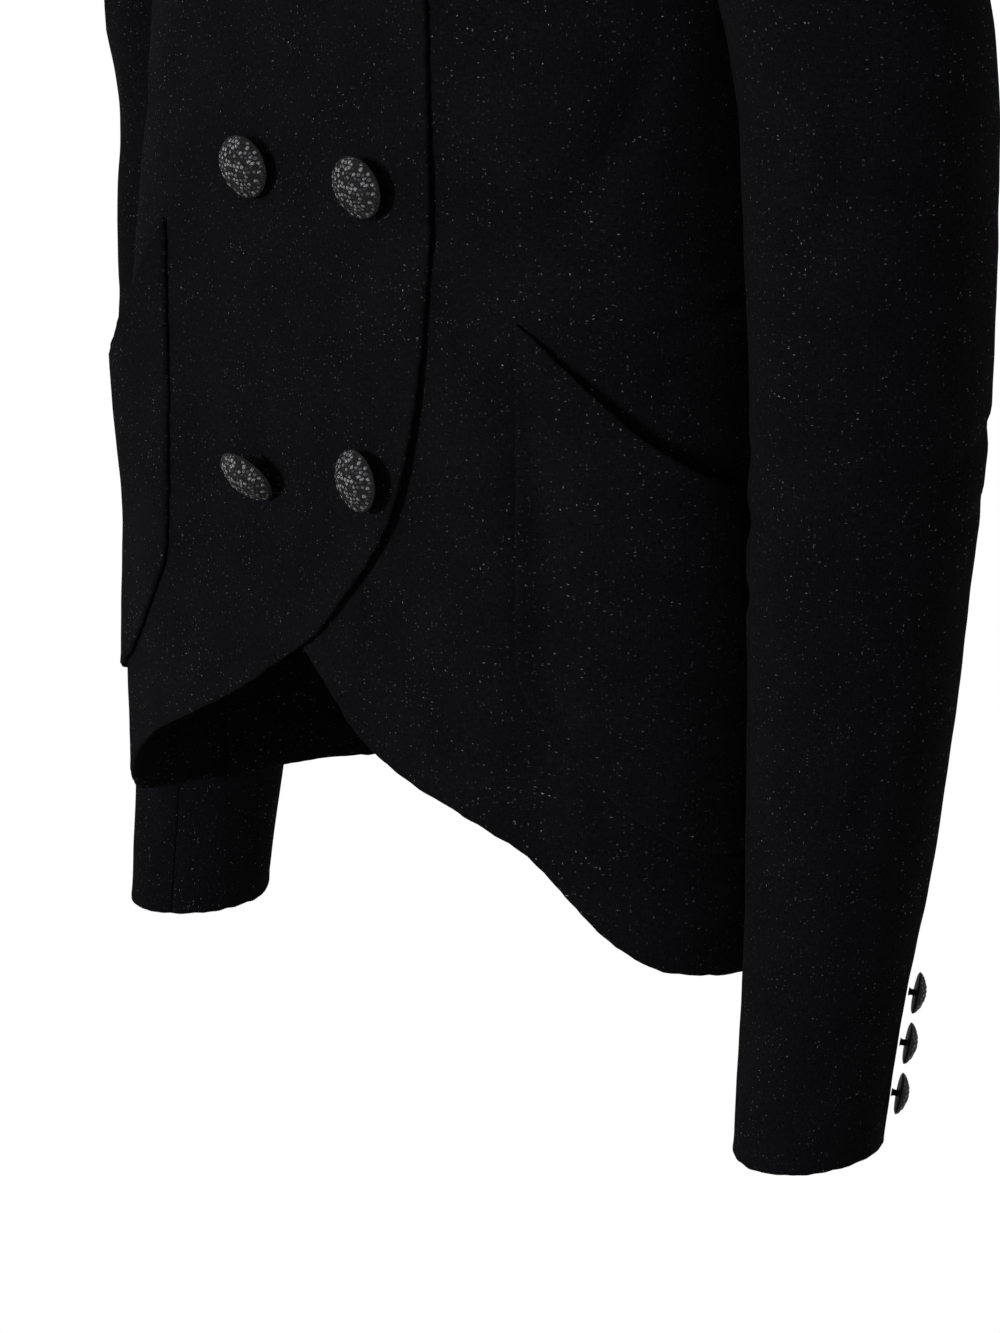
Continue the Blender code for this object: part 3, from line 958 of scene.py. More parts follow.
@dataclass(frozen=True)
class PatchPocket:
    """A patch pocket with a slanted mouth that stands a little open."""

    front: Front
    front_angle: float = 48.0
    back_angle: float = 86.5
    corner: float = 0.026
    corner_span: float = 0.26
    gape: float = 0.0075
    gape_start: float = 0.45
    tall: float = 0.18
    fine: float = 0.0024
    edges: Table = Table((
        (48.0, -0.344, -0.532),
        (53.0, -0.357, -0.543),
        (59.5, -0.377, -0.563),
        (65.0, -0.395, -0.581),
        (73.0, -0.414, -0.597),
        (81.0, -0.426, -0.603),
        (86.5, -0.431, -0.604),
    ))
    creases: Creases = ()

    def build(self, finish: Material) -> None:
        """Make the pocket, and hide the solid that it stands for.

        Args:
            finish: the cloth's material.
        """
        body, place = self.front.body, self.front.pocket
        span = math.radians(self.back_angle - self.front_angle) * body.grain_radius
        shares = crowd(span / self.fine, span, True, True)
        rises = crowd(self.tall / self.fine, self.tall, True, True)
        share, rise = np.meshgrid(shares, rises)
        drawn = self.front_angle + (self.back_angle - self.front_angle) * share
        mouth, bottom = np.moveaxis(self.edges.at(drawn), -1, 0)
        near = np.clip(np.minimum(share, 1.0 - share) / self.corner_span, 0.0, 1.0)
        bottom = bottom + self.corner * (1.0 - np.sqrt(1.0 - (1.0 - near) ** 2))
        mouth = mouth - place.sag * np.sin(math.pi * share)
        height = bottom + (mouth - bottom) * rise + place.raised
        open_up = ease((rise - self.gape_start) / (1.0 - self.gape_start))
        stand = 2.0 * body.gap + body.wall + self.gape * np.sin(math.pi * share) * open_up
        angle = drawn - place.forward
        word = self.front.side.word
        ClothWall(
            f"patch_pocket_{word}",
            *self.front.across_order(*self.front.point(angle, height, stand), angle, height),
            body.wall,
            grain_step=0.013,
            turn_up_depth=0.0,
            creases=self.creases,
        ).dress(finish, f"pocket_{word}", [self.front.name])


@dataclass(frozen=True)
class ButtonForm:
    """A domed button covered with coarse woven braid, on a thread shank."""

    radius: float
    strands: float
    grid: int
    dome: float = 0.33
    dome_power: float = 2.3
    rim: float = -0.06
    rim_fade: float = 0.06
    rim_unshaded: float = 0.4
    relief: float = 0.055
    seed: int = 5
    knot_spread: tuple[float, float] = (1.12, 0.88)
    knot_drift: tuple[float, float] = (0.26, 0.24)
    knot_round: float = 0.74
    knot_gap: float = 0.30
    knot_faintest: float = 0.22
    under: tuple[tuple[float, float], ...] = (
        (1.010, -0.085),
        (0.985, -0.115),
        (0.92, -0.145),
        (0.74, -0.165),
        (0.55, -0.180),
        (0.30, -0.186),
        (0.02, -0.190),
    )
    under_unshaded: float = 0.30
    stem_sides: int = 16
    stem_rows: int = 14
    stem_top: float = -0.17
    stem_half_width: float = 0.15
    stem_flare: float = 0.06
    stem_wraps: float = 0.10
    stem_pitch: float = 0.055
    flat_under: float = -0.20

    def cover(self) -> tuple[Array, Array]:
        """Outer points of the covered dome, over its radius.

        Returns:
            Rows of (across, side, height) points, and how proud each one's thread lies, lowered towards the
            rim where it feeds the braid's painted shade.
        """
        line = np.linspace(-1.0, 1.0, self.grid)
        a, b = np.meshgrid(line, line)
        x = a * np.sqrt(1.0 - 0.5 * b * b)
        y = b * np.sqrt(1.0 - 0.5 * a * a)
        reach = np.minimum(np.hypot(x, y), 1.0)
        proud = self.knots(x, y)
        fade = ease((1.0 - reach) / self.rim_fade)
        height = self.rim + (self.dome - self.rim) * (1.0 - reach ** self.dome_power)
        height = height + self.relief * proud * fade
        # Towards the rim the thread value drops, which the braid finish paints as shade.
        shown = self.rim_unshaded + (1.0 - self.rim_unshaded) * fade
        return np.stack([x, y, height], axis=-1), proud * shown

    def cap(self) -> tuple[Array, Array, Array]:
        """The whole cover over its radius: the dome, and its underside past the rim.

        Returns:
            Points, faces and grain.
        """
        dome, proud = self.cover()
        index = np.arange(proud.size).reshape(proud.shape)
        border = np.concatenate([index[0, :-1], index[:-1, -1], index[-1, :0:-1], index[:0:-1, 0]])
        rim = dome.reshape(-1, 3)[border]
        flat = rim[:, :2] / np.hypot(rim[:, 0], rim[:, 1])[:, None]
        rings = [np.column_stack([flat * share, np.full(len(flat), high)]) for share, high in self.under]
        points = np.concatenate([dome.reshape(-1, 3), *rings])
        round_rim = np.vstack([border, np.arange(proud.size, len(points)).reshape(len(rings), -1)])
        faces = np.concatenate([quads(index), quads(wrapped(round_rim))[:, TURNED_OVER]])
        # The underside gets a low thread value, which the braid finish paints as shade.
        value = np.concatenate([proud.ravel(), np.full(len(points) - proud.size, self.under_unshaded)])
        return points, faces, np.column_stack([points[:, :2] * self.radius, value])

    def stem(self, foot: float) -> tuple[Array, Array, Array]:
        """The thread shank over the button's radius.

        Args:
            foot: height of its lower end.

        Returns:
            Points, faces and grain.
        """
        heights = np.linspace(foot, self.stem_top, self.stem_rows)
        wraps = 1.0 + self.stem_wraps * np.cos(heights * 2.0 * math.pi / self.stem_pitch)
        flare = self.stem_flare * np.abs(np.linspace(-1.0, 1.0, self.stem_rows)) ** 3
        width = ((self.stem_half_width + flare) * wraps)[:, None]
        spin = np.linspace(0.0, 2.0 * math.pi, self.stem_sides + 1)[:-1]
        spun, height = np.meshgrid(spin, heights)
        points = np.stack([width * np.cos(spun), width * np.sin(spun), height], axis=-1)
        faces = quads(wrapped(np.arange(spun.size).reshape(spun.shape)))
        grain = np.stack([spun, height, 0.0 * height], axis=-1)
        return points.reshape(-1, 3), faces, grain.reshape(-1, 3)

    def knots(self, x: Array, y: Array) -> Array:
        """How proud the braid's knots lie, in uneven staggered rows.

        Args:
            x: places across the dome, over its radius.
            y: places along it.

        Returns:
            0 in the gaps, up to 1 on the proudest knots.
        """
        chance = np.random.default_rng(self.seed)
        count = int(self.strands) + 3
        line = (np.arange(count) - 0.5 * (count - 1)) * 2.0 / self.strands
        across, along = np.meshgrid(line, line)
        cell = 2.0 / self.strands
        stagger = 0.5 * (np.arange(count) % 2)[:, None]
        drift_x, drift_y = self.knot_drift
        across = across + cell * (stagger + chance.uniform(-drift_x, drift_x, across.shape))
        along = along + cell * chance.uniform(-drift_y, drift_y, along.shape)
        strength = chance.uniform(self.knot_faintest, 1.0, along.size)
        away_x = (x[..., None] - across.ravel()) / (cell * self.knot_spread[0])
        away_y = (y[..., None] - along.ravel()) / (cell * self.knot_spread[1])
        away = np.hypot(away_x, away_y)
        nearest = away.argmin(axis=-1)
        two = np.partition(away, 1, axis=-1)
        round_top = np.sqrt(np.maximum(1.0 - (two[..., 0] / self.knot_round) ** 2, 0.0))
        return round_top * ease((two[..., 1] - two[..., 0]) / self.knot_gap) * strength[nearest]


@dataclass(frozen=True)
class Lean:
    """How a button leans: degrees downwards and sideways, on a shank given over its radius."""

    sag: float
    swing: float
    shank: float

    def frame(self, outward: Array) -> Array:
        """The leaning button's own directions.

        Args:
            outward: straight out of the cloth.

        Returns:
            Across, side and axis, as rows.
        """
        out = Vector(outward)
        across = out.cross(Vector((0.0, 0.0, -1.0))).normalized()
        down = across.cross(out).normalized()
        lean = down * math.tan(math.radians(self.sag)) + across * math.tan(math.radians(self.swing))
        axis = (out + lean).normalized()
        side = axis.cross(across).normalized()
        return np.array([side.cross(axis).normalized(), side, axis])


@dataclass(frozen=True)
class FrontButton:
    """Where a front button sits on the over front, and how it leans."""

    row: int
    side: Side
    angle: float
    height: float
    lean: Lean


@dataclass(frozen=True)
class Buttons:
    """All the covered buttons: three pairs down the front and three up each cuff."""

    over_front: Front
    sleeves: tuple[Sleeve, Sleeve]
    front_form: ButtonForm = ButtonForm(0.0152, 14.0, 107)
    cuff_form: ButtonForm = ButtonForm(0.0100, 10.0, 69)
    front_places: tuple[FrontButton, ...] = (
        FrontButton(1, Side.RIGHT, -11.5, -0.433, Lean(35.0, 0.0, 0.62)),
        FrontButton(1, Side.LEFT, 20.5, -0.428, Lean(4.0, -12.0, 0.36)),
        FrontButton(2, Side.RIGHT, -11.5, -0.288, Lean(8.0, 3.0, 0.34)),
        FrontButton(2, Side.LEFT, 20.5, -0.287, Lean(11.0, -5.0, 0.34)),
        FrontButton(3, Side.RIGHT, -11.5, -0.143, Lean(6.0, -3.0, 0.34)),
        FrontButton(3, Side.LEFT, 20.5, -0.142, Lean(9.0, 4.0, 0.34)),
    )
    cuff_heights: tuple[float, ...] = (-0.668, -0.693, -0.718)
    cuff_turn: float = -50.0
    cuff_lean: Lean = Lean(3.0, 0.0, 0.25)
    neck: float = 0.18

    def build(self, cover: Material, thread: Material) -> None:
        """Make every button.

        Args:
            cover: the braid's material.
            thread: the shanks' material.
        """
        gap = self.over_front.body.gap
        for spot in self.front_places:
            lean = math.radians(math.hypot(spot.lean.sag, spot.lean.swing))
            room = gap + self.neck * self.front_form.radius * math.sin(lean)
            seat = self.over_front.point(np.array([-spot.angle]), np.array([spot.height]), room)
            node = f"front_button_{spot.row}_{spot.side.word}"
            self.place(node, self.front_form, seat, spot.lean, cover, thread)
        for sleeve in self.sleeves:
            for number, height in enumerate(self.cuff_heights):
                rise = np.array([(height - sleeve.cuff) / (sleeve.biceps - sleeve.cuff)])
                seat = sleeve.point(np.array([math.radians(self.cuff_turn)]), rise, 2.0 * gap)
                node = f"cuff_button_{number + 1}_{sleeve.side.word}"
                self.place(node, self.cuff_form, seat, self.cuff_lean, cover, thread)

    def place(
        self, node: str, form: ButtonForm, seat: tuple[Array, Array], lean: Lean,
        cover: Material, thread: Material,
    ) -> None:
        """Make one covered button and its thread shank.

        Args:
            node: the solid that it stands for.
            form: its shape.
            seat: where the shank meets the cloth, and straight out of it, in one row each.
            lean: how it leans there.
            cover: the braid's material.
            thread: the shank's material.
        """
        base, outward = seat[0][0], seat[1][0]
        foot = form.flat_under - lean.shank
        turn = lean.frame(outward)
        made = []
        for name, shape, finish in (
            (f"covered_{node}", form.cap(), cover),
            (f"covered_{node}_shank", form.stem(foot), thread),
        ):
            points, faces, grain = shape
            points = base + ((points - np.array([0.0, 0.0, foot])) * form.radius) @ turn
            made.append(add_object(name, points, faces, grain, finish))
            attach(made[-1], "root")
        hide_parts(node)
        LOG.info("%s: %.0f mm across", made[0].name, 2000.0 * form.radius)


@dataclass
class NodeBench:
    """Short hand for adding and joining the nodes of one material."""

    material: Material
    tree: bpy.types.NodeTree = field(init=False)

    def __post_init__(self) -> None:
        """Turn on the material's nodes."""
        self.material.use_nodes = True
        self.tree = self.material.node_tree

    @property
    def shader(self) -> bpy.types.Node:
        """The Principled shader."""
        return self.tree.nodes["Principled BSDF"]

    def feed(self, node: bpy.types.Node, key: str | int, value: object) -> None:
        """Give one input of a node a value, or join a socket to it."""
        if isinstance(value, Socket):
            self.tree.links.new(value, node.inputs[key])
        else:
            node.inputs[key].default_value = value

    def node(
        self, kind: str, inputs: dict[str | int, object] | None = None, **settings: object
    ) -> bpy.types.Node:
        """Add a node.

        Args:
            kind: the node's type name.
            inputs: socket values, or sockets to join to.
            settings: the node's own properties.

        Returns:
            The new node.
        """
        made = self.tree.nodes.new(kind)
        for key, value in settings.items():
            setattr(made, key, value)
        for key, value in (inputs or {}).items():
            self.feed(made, key, value)
        return made

    def join(self, value: object, name: str) -> None:
        """Give one of the shader's inputs a value, or join a socket to it."""
        self.feed(self.shader, name, value)

    def noise(self, vector: object, scale: float, detail: float = 2.0, rough: float = 0.5) -> bpy.types.Node:
        """Add a noise texture."""
        inputs = {"Vector": vector, "Scale": scale, "Detail": detail, "Roughness": rough}
        return self.node("ShaderNodeTexNoise", inputs)

    def bump(self, height: object, strength: float, distance: float, over: Socket | None = None) -> None:
        """Raise the shader's surface by a height, over its own normal or another."""
        inputs = {"Height": height, "Strength": strength, "Distance": distance}
        if over is not None:
            inputs["Normal"] = over
        self.join(self.node("ShaderNodeBump", inputs).outputs[0], "Normal")

    def math(self, operation: str, first: object, second: object = 0.0, third: object = 0.0) -> Socket:
        """Result of one arithmetic step."""
        inputs = {0: first, 1: second, 2: third}
        return self.node("ShaderNodeMath", inputs, operation=operation).outputs[0]

    def mix(self, share: object, low: object, high: object) -> Socket:
        """Mix two colours, or sockets that carry them, by a share."""
        low, high = ((*end, 1.0) if isinstance(end, tuple) else end for end in (low, high))
        inputs = {0: share, 6: low, 7: high}
        return self.node("ShaderNodeMix", inputs, data_type="RGBA").outputs[2]

    def span(
        self, value: object, low: float, high: float, start: float = 0.0, end: float = 1.0
    ) -> Socket:
        """Map a value between two limits smoothly on to a new span."""
        inputs = {0: value, 1: low, 2: high, 3: start, 4: end}
        return self.node("ShaderNodeMapRange", inputs, interpolation_type="SMOOTHSTEP").outputs[0]

    def grain(self) -> Socket:
        """The cloth's own places, in metres across and up."""
        return self.node("ShaderNodeAttribute", attribute_name="grain").outputs["Vector"]

    def shifted(self, vector: object, step: float) -> Socket:
        """A vector moved by the same step along each axis."""
        inputs = {0: vector, 1: (step, step, step)}
        return self.node("ShaderNodeVectorMath", inputs, operation="ADD").outputs[0]

    def scaled(self, vector: object, x: float, y: float, z: float) -> Socket:
        """A vector scaled along each axis."""
        inputs = {0: vector, 1: (x, y, z)}
        return self.node("ShaderNodeVectorMath", inputs, operation="MULTIPLY").outputs[0]


@dataclass(frozen=True)
class Finish:
    """A look that builds its own material."""

    def make(self, name: str) -> Material:
        """Build the material.

        Args:
            name: its name.

        Returns:
            The material.
        """
        bench = NodeBench(bpy.data.materials.new(name))
        self.paint(bench, bench.grain())
        return bench.material

    def paint(self, bench: NodeBench, grain: Socket) -> None:
        """Join up the material's nodes."""
        raise NotImplementedError


@dataclass(frozen=True)
class TweedFinish(Finish):
    """Matte black wool tweed with slubby yarns and scattered silver flecks, its wool painted darker between
    the yarns as shade.
    """

    wool: Colour = (0.0016, 0.0015, 0.0019)
    # The lighter wool colour below is for the yarn tops, lit by painted light.
    wool_lit_top: Colour = (0.0061, 0.0059, 0.0074)
    fleck: Colour = (0.14, 0.14, 0.152)
    fleck_cell: float = 0.0017
    fleck_tilt: float = 1.6
    fleck_size: tuple[float, float] = (0.10, 0.27)
    fleck_metal: tuple[float, float] = (0.02, 0.30)
    fleck_patches: tuple[float, ...] = (0.34, 0.64, 0.22, 1.0)
    patch_count: float = 30.0
    upright: tuple[tuple[float, float], float] = ((0.62, 1.25), 8.0)
    level: tuple[tuple[float, float], float] = ((1.30, 0.66), 10.0)
    level_shift: float = 0.37
    yarn_counts: tuple[float, float] = (330.0, 1050.0)
    yarn_shade_span: tuple[float, float] = (0.30, 0.95)
    fibre_count: float = 2900.0
    fibre_share: float = 0.35
    tone_count: float = 26.0
    tones: tuple[float, ...] = (0.3, 0.7, 0.75, 1.2)
    nap: float = 0.0009

    def paint(self, bench: NodeBench, grain: Socket) -> None:
        """Join up the material's nodes."""
        relief = self.yarns(bench, grain)
        depth = bench.span(relief, *self.yarn_shade_span)
        broad = bench.noise(grain, self.tone_count, 3.0)
        # Painted shade mixed with random variation: the wool is darker where the yarn relief used for the
        # bump is low.
        yarn_shade_and_tone = bench.math("MULTIPLY", depth, bench.span(broad.outputs[0], *self.tones))
        wool = bench.mix(yarn_shade_and_tone, self.wool, self.wool_lit_top)
        upright = self.flecks(bench, grain, *self.upright)
        level = self.flecks(bench, bench.shifted(grain, self.level_shift), *self.level)
        shown = bench.math("MAXIMUM", upright, level)
        bench.join(bench.mix(shown, wool, self.fleck), "Base Color")
        metal = bench.span(shown, *self.fleck_metal)
        bench.join(metal, "Metallic")
        bench.join(bench.math("MULTIPLY_ADD", metal, -0.62, 1.0), "Roughness")
        bench.join(0.015, "Specular IOR Level")
        bench.join(0.006, "Sheen Weight")
        bench.join(0.5, "Sheen Roughness")
        bench.bump(relief, 0.9, self.nap, self.tilted(bench, grain, metal))

    def tilted(self, bench: NodeBench, grain: object, metal: object) -> Socket:
        """Normal of the cloth, with each fleck leaning its own way.

        Args:
            bench: the material's nodes.
            grain: the cloth's own places.
            metal: where the flecks are.

        Returns:
            The normal.
        """
        lean = bench.noise(grain, 0.8 / self.fleck_cell, 0.0)
        centred = bench.shifted(lean.outputs["Color"], -0.5)
        reach = bench.math("MULTIPLY", metal, self.fleck_tilt)
        leaning = bench.node("ShaderNodeVectorMath", {0: centred, "Scale": reach}, operation="SCALE")
        own = bench.node("ShaderNodeNewGeometry").outputs["Normal"]
        summed = bench.node("ShaderNodeVectorMath", {0: own, 1: leaning.outputs[0]}, operation="ADD")
        return bench.node("ShaderNodeVectorMath", {0: summed.outputs[0]}, operation="NORMALIZE").outputs[0]

    def yarns(self, bench: NodeBench, grain: object) -> Socket:
        """Height of the woven, slubby yarns with their loose fibres.

        Args:
            bench: the material's nodes.
            grain: the cloth's own places.

        Returns:
            The height, from about 0 to 1.
        """
        thick, fine = self.yarn_counts
        warp = bench.noise(bench.scaled(grain, fine, thick, 0.0), 1.0, 2.0, 0.55)
        weft = bench.noise(bench.scaled(grain, thick, fine, 0.0), 1.0, 2.0, 0.55)
        fibre = bench.noise(grain, self.fibre_count, 3.0, 0.65)
        yarn = bench.math("MAXIMUM", warp.outputs[0], weft.outputs[0])
        loose = bench.math("MULTIPLY", fibre.outputs[0], self.fibre_share)
        return bench.math("ADD", bench.math("MULTIPLY", yarn, 0.75), loose)

    def flecks(
        self, bench: NodeBench, grain: object, squeeze: tuple[float, float], rarity: float
    ) -> Socket:
        """Strength of the silver flecks, from 0 between them.

        Args:
            bench: the material's nodes.
            grain: the cloth's own places.
            squeeze: how much a fleck is shortened across and up.
            rarity: how steeply the strength falls from the few bright flecks to the faint ones.

        Returns:
            The strength at each place.
        """
        cells = bench.node(
            "ShaderNodeTexVoronoi",
            {"Vector": bench.scaled(grain, *squeeze, 0.0), "Scale": 1.0 / self.fleck_cell},
        )
        chance = bench.node("ShaderNodeSeparateColor", {0: cells.outputs["Color"]})
        spot = bench.span(cells.outputs["Distance"], *self.fleck_size, 1.0, 0.0)
        bright = bench.math("POWER", chance.outputs[0], rarity)
        patch = bench.noise(grain, self.patch_count)
        thick = bench.span(patch.outputs[0], *self.fleck_patches)
        return bench.math("MULTIPLY", bench.math("MULTIPLY", spot, bright), thick)


@dataclass(frozen=True)
class BraidFinish(Finish):
    """Silver-grey metallic braid, with painted shade in the gaps between its threads and painted glints on
    them.
    """

    # The gap colour is painted shade in the hollows between and under the threads.
    gap: Colour = (0.004, 0.004, 0.005)
    silver: Colour = (0.042, 0.042, 0.046)
    # The bright colour is for painted glints on the threads.
    bright: Colour = (0.94, 0.94, 0.96)
    strand_count: float = 1250.0
    patch_count: float = 300.0
    raggedness: float = 1.3
    glints: tuple[float, float] = (0.44, 0.64)
    glint_from: tuple[float, float] = (0.46, 0.95)
    patches: tuple[float, ...] = (0.36, 0.62, 0.3, 1.0)
    shade_gap_edge: tuple[float, float] = (0.34, 0.78)
    roughness: tuple[float, ...] = (0.3, 0.7, 0.34, 0.58)

    def paint(self, bench: NodeBench, grain: Socket) -> None:
        """Join up the material's nodes."""
        proud = bench.node("ShaderNodeSeparateXYZ", {0: grain}).outputs[2]
        strand = bench.noise(grain, self.strand_count, 3.0).outputs[0]
        patch = bench.noise(grain, self.patch_count).outputs[0]
        ragged = bench.math("MULTIPLY_ADD", bench.math("SUBTRACT", strand, 0.5), self.raggedness, proud)
        glint = bench.span(strand, *self.glints)
        lit = bench.math("MULTIPLY", glint, bench.span(ragged, *self.glint_from))
        shine = bench.math("MULTIPLY", lit, bench.span(patch, *self.patches))
        # Noise-placed spots of the bright colour on the raised threads are painted glints.
        thread = bench.mix(shine, self.silver, self.bright)
        # Low-lying thread is painted with the dark shade colour instead of silver.
        unshaded_share = bench.span(ragged, *self.shade_gap_edge)
        bench.join(bench.mix(unshaded_share, self.gap, thread), "Base Color")
        bench.join(bench.math("MULTIPLY", unshaded_share, 0.7), "Metallic")
        bench.join(bench.span(strand, *self.roughness), "Roughness")
        bench.join(0.2, "Specular IOR Level")
        bench.bump(strand, 0.8, 0.0004)


@dataclass(frozen=True)
class ThreadFinish(Finish):
    """Black wrapped sewing thread."""

    colour: Colour = (0.002, 0.002, 0.002)
    lit: Colour = (0.007, 0.007, 0.008)

    def paint(self, bench: NodeBench, grain: Socket) -> None:
        """Join up the material's nodes."""
        twist = bench.noise(bench.scaled(grain, 1.0, 40.0, 1.0), 6.0).outputs[0]
        bench.join(bench.mix(twist, self.colour, self.lit), "Base Color")
        bench.join(0.8, "Roughness")
        bench.join(0.05, "Specular IOR Level")
        bench.bump(twist, 0.5, 0.0002)


@dataclass(frozen=True)
class HandCreases:
    """Creases given for each panel, in metres across and up the flattened cloth."""

    left_front: Creases = creases(
        (0.138, -0.372, 0.147, -0.606, 0.006, 0.015, 0.0046),
        (0.150, -0.515, 0.176, -0.606, 0.004, 0.011, 0.0021),
        (0.252, -0.335, 0.180, -0.352, 0.003, 0.007, 0.0017),
        (0.250, -0.372, 0.196, -0.362, 0.002, 0.006, 0.0013),
        (0.204, -0.214, 0.140, -0.312, 0.008, 0.014, 0.0027),
        (0.196, -0.150, 0.128, -0.198, -0.006, 0.013, 0.0018),
        (0.092, -0.345, 0.084, -0.520, -0.005, 0.018, 0.0018),
        (0.112, -0.235, 0.080, -0.330, 0.004, 0.015, 0.0015),
    )
    right_front: Creases = creases(
        (-0.048, -0.290, -0.132, -0.306, 0.004, 0.009, 0.0011),
        (-0.046, -0.436, -0.118, -0.458, 0.005, 0.010, 0.0012),
        (0.048, -0.436, -0.020, -0.441, -0.002, 0.008, 0.0008),
        (0.046, -0.292, -0.018, -0.293, 0.002, 0.008, 0.0008),
        (-0.046, -0.146, -0.128, -0.132, -0.004, 0.010, 0.0011),
        (-0.098, -0.330, -0.090, -0.500, 0.006, 0.017, 0.0014),
        (-0.206, -0.212, -0.142, -0.308, -0.007, 0.014, 0.0018),
        (-0.250, -0.340, -0.186, -0.352, -0.003, 0.008, 0.0012),
        (-0.196, -0.152, -0.130, -0.196, 0.005, 0.012, 0.0012),
        (0.030, -0.352, 0.018, -0.470, 0.003, 0.014, 0.0009),
    )
    back: Creases = creases(
        (0.430, -0.338, 0.590, -0.350, 0.005, 0.011, 0.0025),
        (0.470, -0.372, 0.662, -0.358, -0.006, 0.010, 0.0021),
        (0.372, -0.362, 0.470, -0.390, 0.004, 0.009, 0.0016),
        (0.340, -0.190, 0.424, -0.282, 0.009, 0.016, 0.0027),
        (0.694, -0.186, 0.608, -0.270, -0.010, 0.015, 0.0025),
        (0.452, -0.028, 0.590, -0.031, 0.004, 0.010, 0.0013),
        (0.404, -0.410, 0.398, -0.640, 0.008, 0.019, 0.0029),
        (0.640, -0.400, 0.652, -0.646, -0.007, 0.018, 0.0026),
        (0.524, -0.430, 0.530, -0.655, 0.006, 0.020, 0.0020),
    )
    left_sleeve: Creases = creases(
        (0.004, 0.336, -0.056, 0.353, -0.003, 0.008, 0.0022),
        (0.016, 0.308, -0.050, 0.318, 0.003, 0.007, 0.0017),
        (0.060, 0.318, 0.138, 0.300, 0.005, 0.009, 0.0030),
        (0.070, 0.286, 0.142, 0.276, -0.004, 0.008, 0.0025),
        (0.044, 0.350, 0.120, 0.340, 0.003, 0.009, 0.0019),
        (0.034, 0.150, 0.020, 0.245, 0.004, 0.012, 0.0016),
        (0.132, 0.545, 0.064, 0.604, -0.006, 0.011, 0.0028),
        (-0.066, 0.550, -0.020, 0.606, 0.005, 0.011, 0.0025),
        (0.070, 0.420, 0.040, 0.515, 0.006, 0.014, 0.0019),
        (-0.020, 0.085, 0.034, 0.060, 0.003, 0.009, 0.0013),
    )
    right_sleeve: Creases = creases(
        (0.010, 0.322, -0.058, 0.342, 0.003, 0.009, 0.0020),
        (0.052, 0.330, 0.136, 0.306, -0.005, 0.009, 0.0029),
        (0.066, 0.292, 0.140, 0.270, 0.004, 0.008, 0.0026),
        (0.048, 0.262, 0.118, 0.250, 0.003, 0.008, 0.0016),
        (0.022, 0.135, 0.036, 0.238, -0.004, 0.013, 0.0017),
        (0.130, 0.538, 0.066, 0.600, 0.006, 0.011, 0.0026),
        (-0.062, 0.546, -0.014, 0.600, -0.005, 0.012, 0.0025),
        (0.052, 0.410, 0.074, 0.505, 0.005, 0.014, 0.0017),
    )
    inner_arm: Creases = creases(
        (0.158, 0.306, 0.238, 0.322, 0.004, 0.009, 0.0023),
        (0.156, 0.272, 0.226, 0.290, -0.004, 0.008, 0.0020),
        (0.164, 0.344, 0.232, 0.350, 0.003, 0.009, 0.0016),
        (0.186, 0.440, 0.210, 0.520, 0.005, 0.012, 0.0018),
        (0.300, 0.330, 0.345, 0.352, 0.003, 0.010, 0.0016),
    )


@dataclass(frozen=True)
class Light:
    """A soft square light, with the length of its side and its watts."""

    name: str
    place: tuple[float, float, float]
    size: float
    power: float

    def add(self, target: Vector) -> None:
        """Add the light, facing a target."""
        data = bpy.data.lights.new(self.name, "AREA")
        data.size = self.size
        data.energy = self.power
        light = bpy.data.objects.new(self.name, data)
        light.location = self.place
        towards = target - Vector(self.place)
        light.rotation_euler = towards.to_track_quat("-Z", "Y").to_euler()
        bpy.context.scene.collection.objects.link(light)


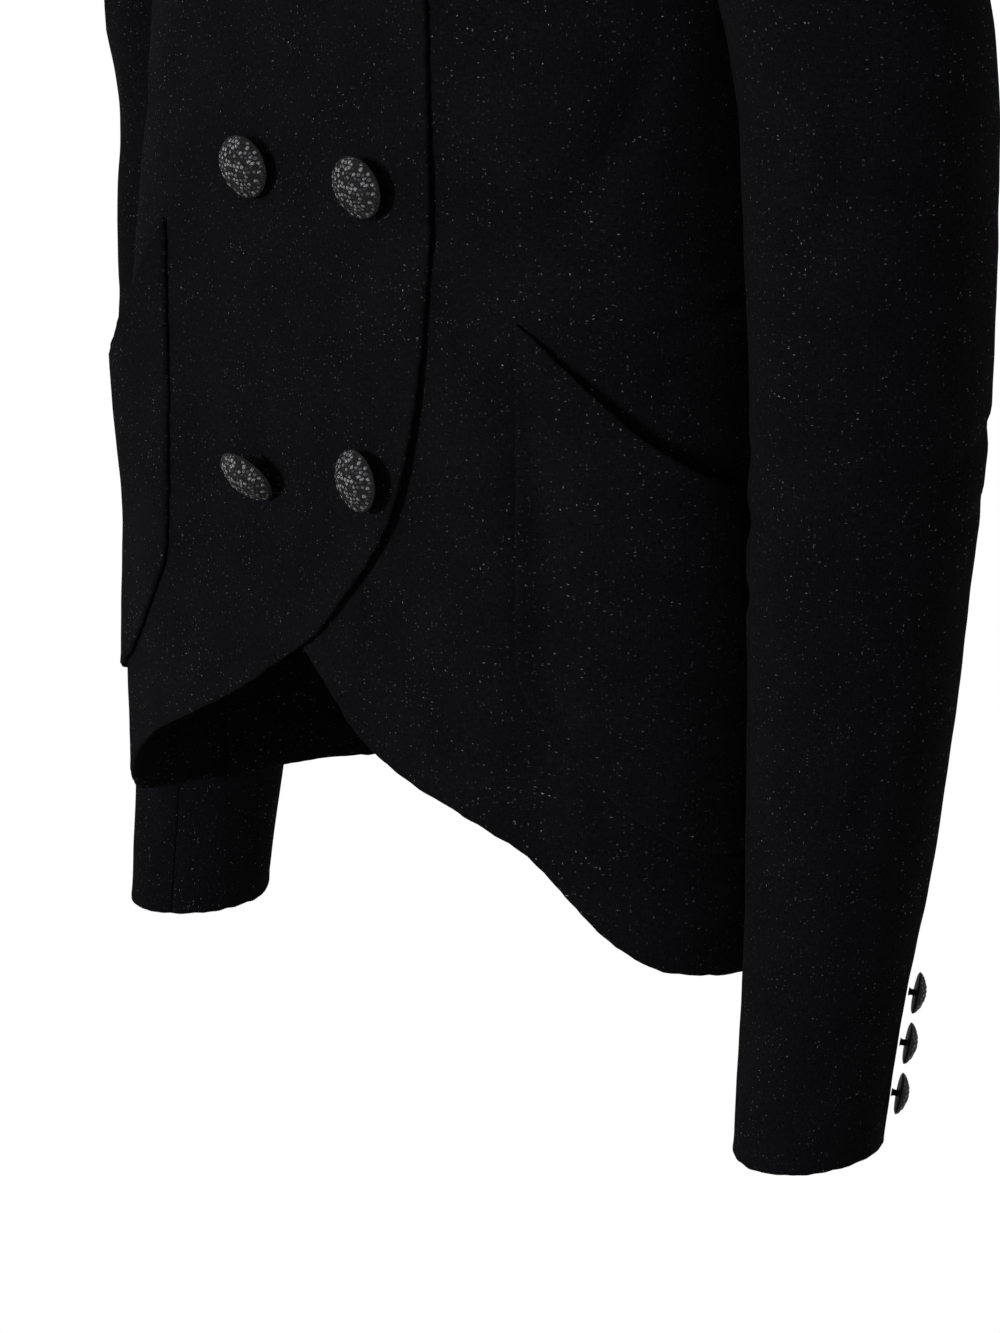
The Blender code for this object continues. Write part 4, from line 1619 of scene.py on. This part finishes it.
@dataclass(frozen=True)
class Studio:
    """White surroundings, three soft lights and the camera at the photograph's angle."""

    azimuth: float = 44.0
    elevation: float = 17.0
    distance: float = 2.65
    focal_pixels: float = 5300.0
    frame_height: float = 1333.0
    sensor: float = 36.0
    aim_height: float = -0.560
    aim_right: float = 0.004
    ambient: float = 0.42
    lit_height: float = -0.4
    lights: tuple[Light, ...] = (
        Light("key", (0.1, -3.2, 0.4), 0.6, 98.0),
        Light("fill", (3.0, -1.6, 0.9), 2.6, 3.0),
        Light("rim", (0.6, 3.2, 1.8), 2.2, 10.0),
    )

    def build(self) -> None:
        """Add the white surroundings, the lights and the camera."""
        self.add_world()
        for light in self.lights:
            light.add(Vector((0.0, 0.0, self.lit_height)))
        self.add_camera()

    def add_world(self) -> None:
        """White surroundings that light the jacket evenly, but less than they look."""
        world = bpy.data.worlds.new("studio")
        world.use_nodes = True
        nodes, links = world.node_tree.nodes, world.node_tree.links
        background = nodes["Background"]
        background.inputs[0].default_value = (1.0, 1.0, 1.0, 1.0)
        seen = nodes.new("ShaderNodeLightPath")
        strength = nodes.new("ShaderNodeMapRange")
        strength.inputs["To Min"].default_value = self.ambient
        links.new(seen.outputs["Is Camera Ray"], strength.inputs["Value"])
        links.new(strength.outputs[0], background.inputs[1])
        bpy.context.scene.world = world
        bpy.context.scene.view_settings.view_transform = "Standard"

    def add_camera(self) -> None:
        """Add the camera at the photograph's viewing angle."""
        turn, tilt = math.radians(self.azimuth), math.radians(self.elevation)
        back = Vector((math.sin(turn) * math.cos(tilt), -math.cos(turn) * math.cos(tilt), math.sin(tilt)))
        aim = Vector((math.cos(turn), math.sin(turn), 0.0)) * self.aim_right
        aim.z = self.aim_height
        data = bpy.data.cameras.new("camera")
        data.sensor_width = self.sensor
        data.lens = self.focal_pixels * self.sensor / self.frame_height
        camera = bpy.data.objects.new("camera", data)
        camera.location = aim + back * self.distance
        camera.rotation_euler = (-back).to_track_quat("-Z", "Y").to_euler()
        bpy.context.scene.collection.objects.link(camera)
        bpy.context.scene.camera = camera


def main() -> None:
    """Dress the jacket piece by piece, then light it."""
    logging.basicConfig(level=logging.INFO, format="%(message)s")
    tweed = TweedFinish().make("black_tweed")
    braid = BraidFinish().make("silver_braid")
    thread = ThreadFinish().make("black_thread")
    body = Body()
    laid = HandCreases()
    over = Front(body, Side.RIGHT, True, PocketPlace(9.0, 0.018, 0.022), creases=laid.right_front)
    under = Front(body, Side.LEFT, False, PocketPlace(0.0, 0.0, 0.0), creases=laid.left_front)
    sleeves = (
        Sleeve(body, Side.LEFT, creases=laid.left_sleeve + laid.inner_arm),
        Sleeve(body, Side.RIGHT, creases=laid.right_sleeve + laid.inner_arm),
    )
    for front in (over, under):
        front.build(tweed)
        PatchPocket(front, creases=front.creases).build(tweed)
    Back(body, creases=laid.back).build(tweed)
    for sleeve in sleeves:
        sleeve.build(tweed)
    Buttons(over, sleeves).build(braid, thread)
    Studio().build()


if __name__ == "__main__":
    main()
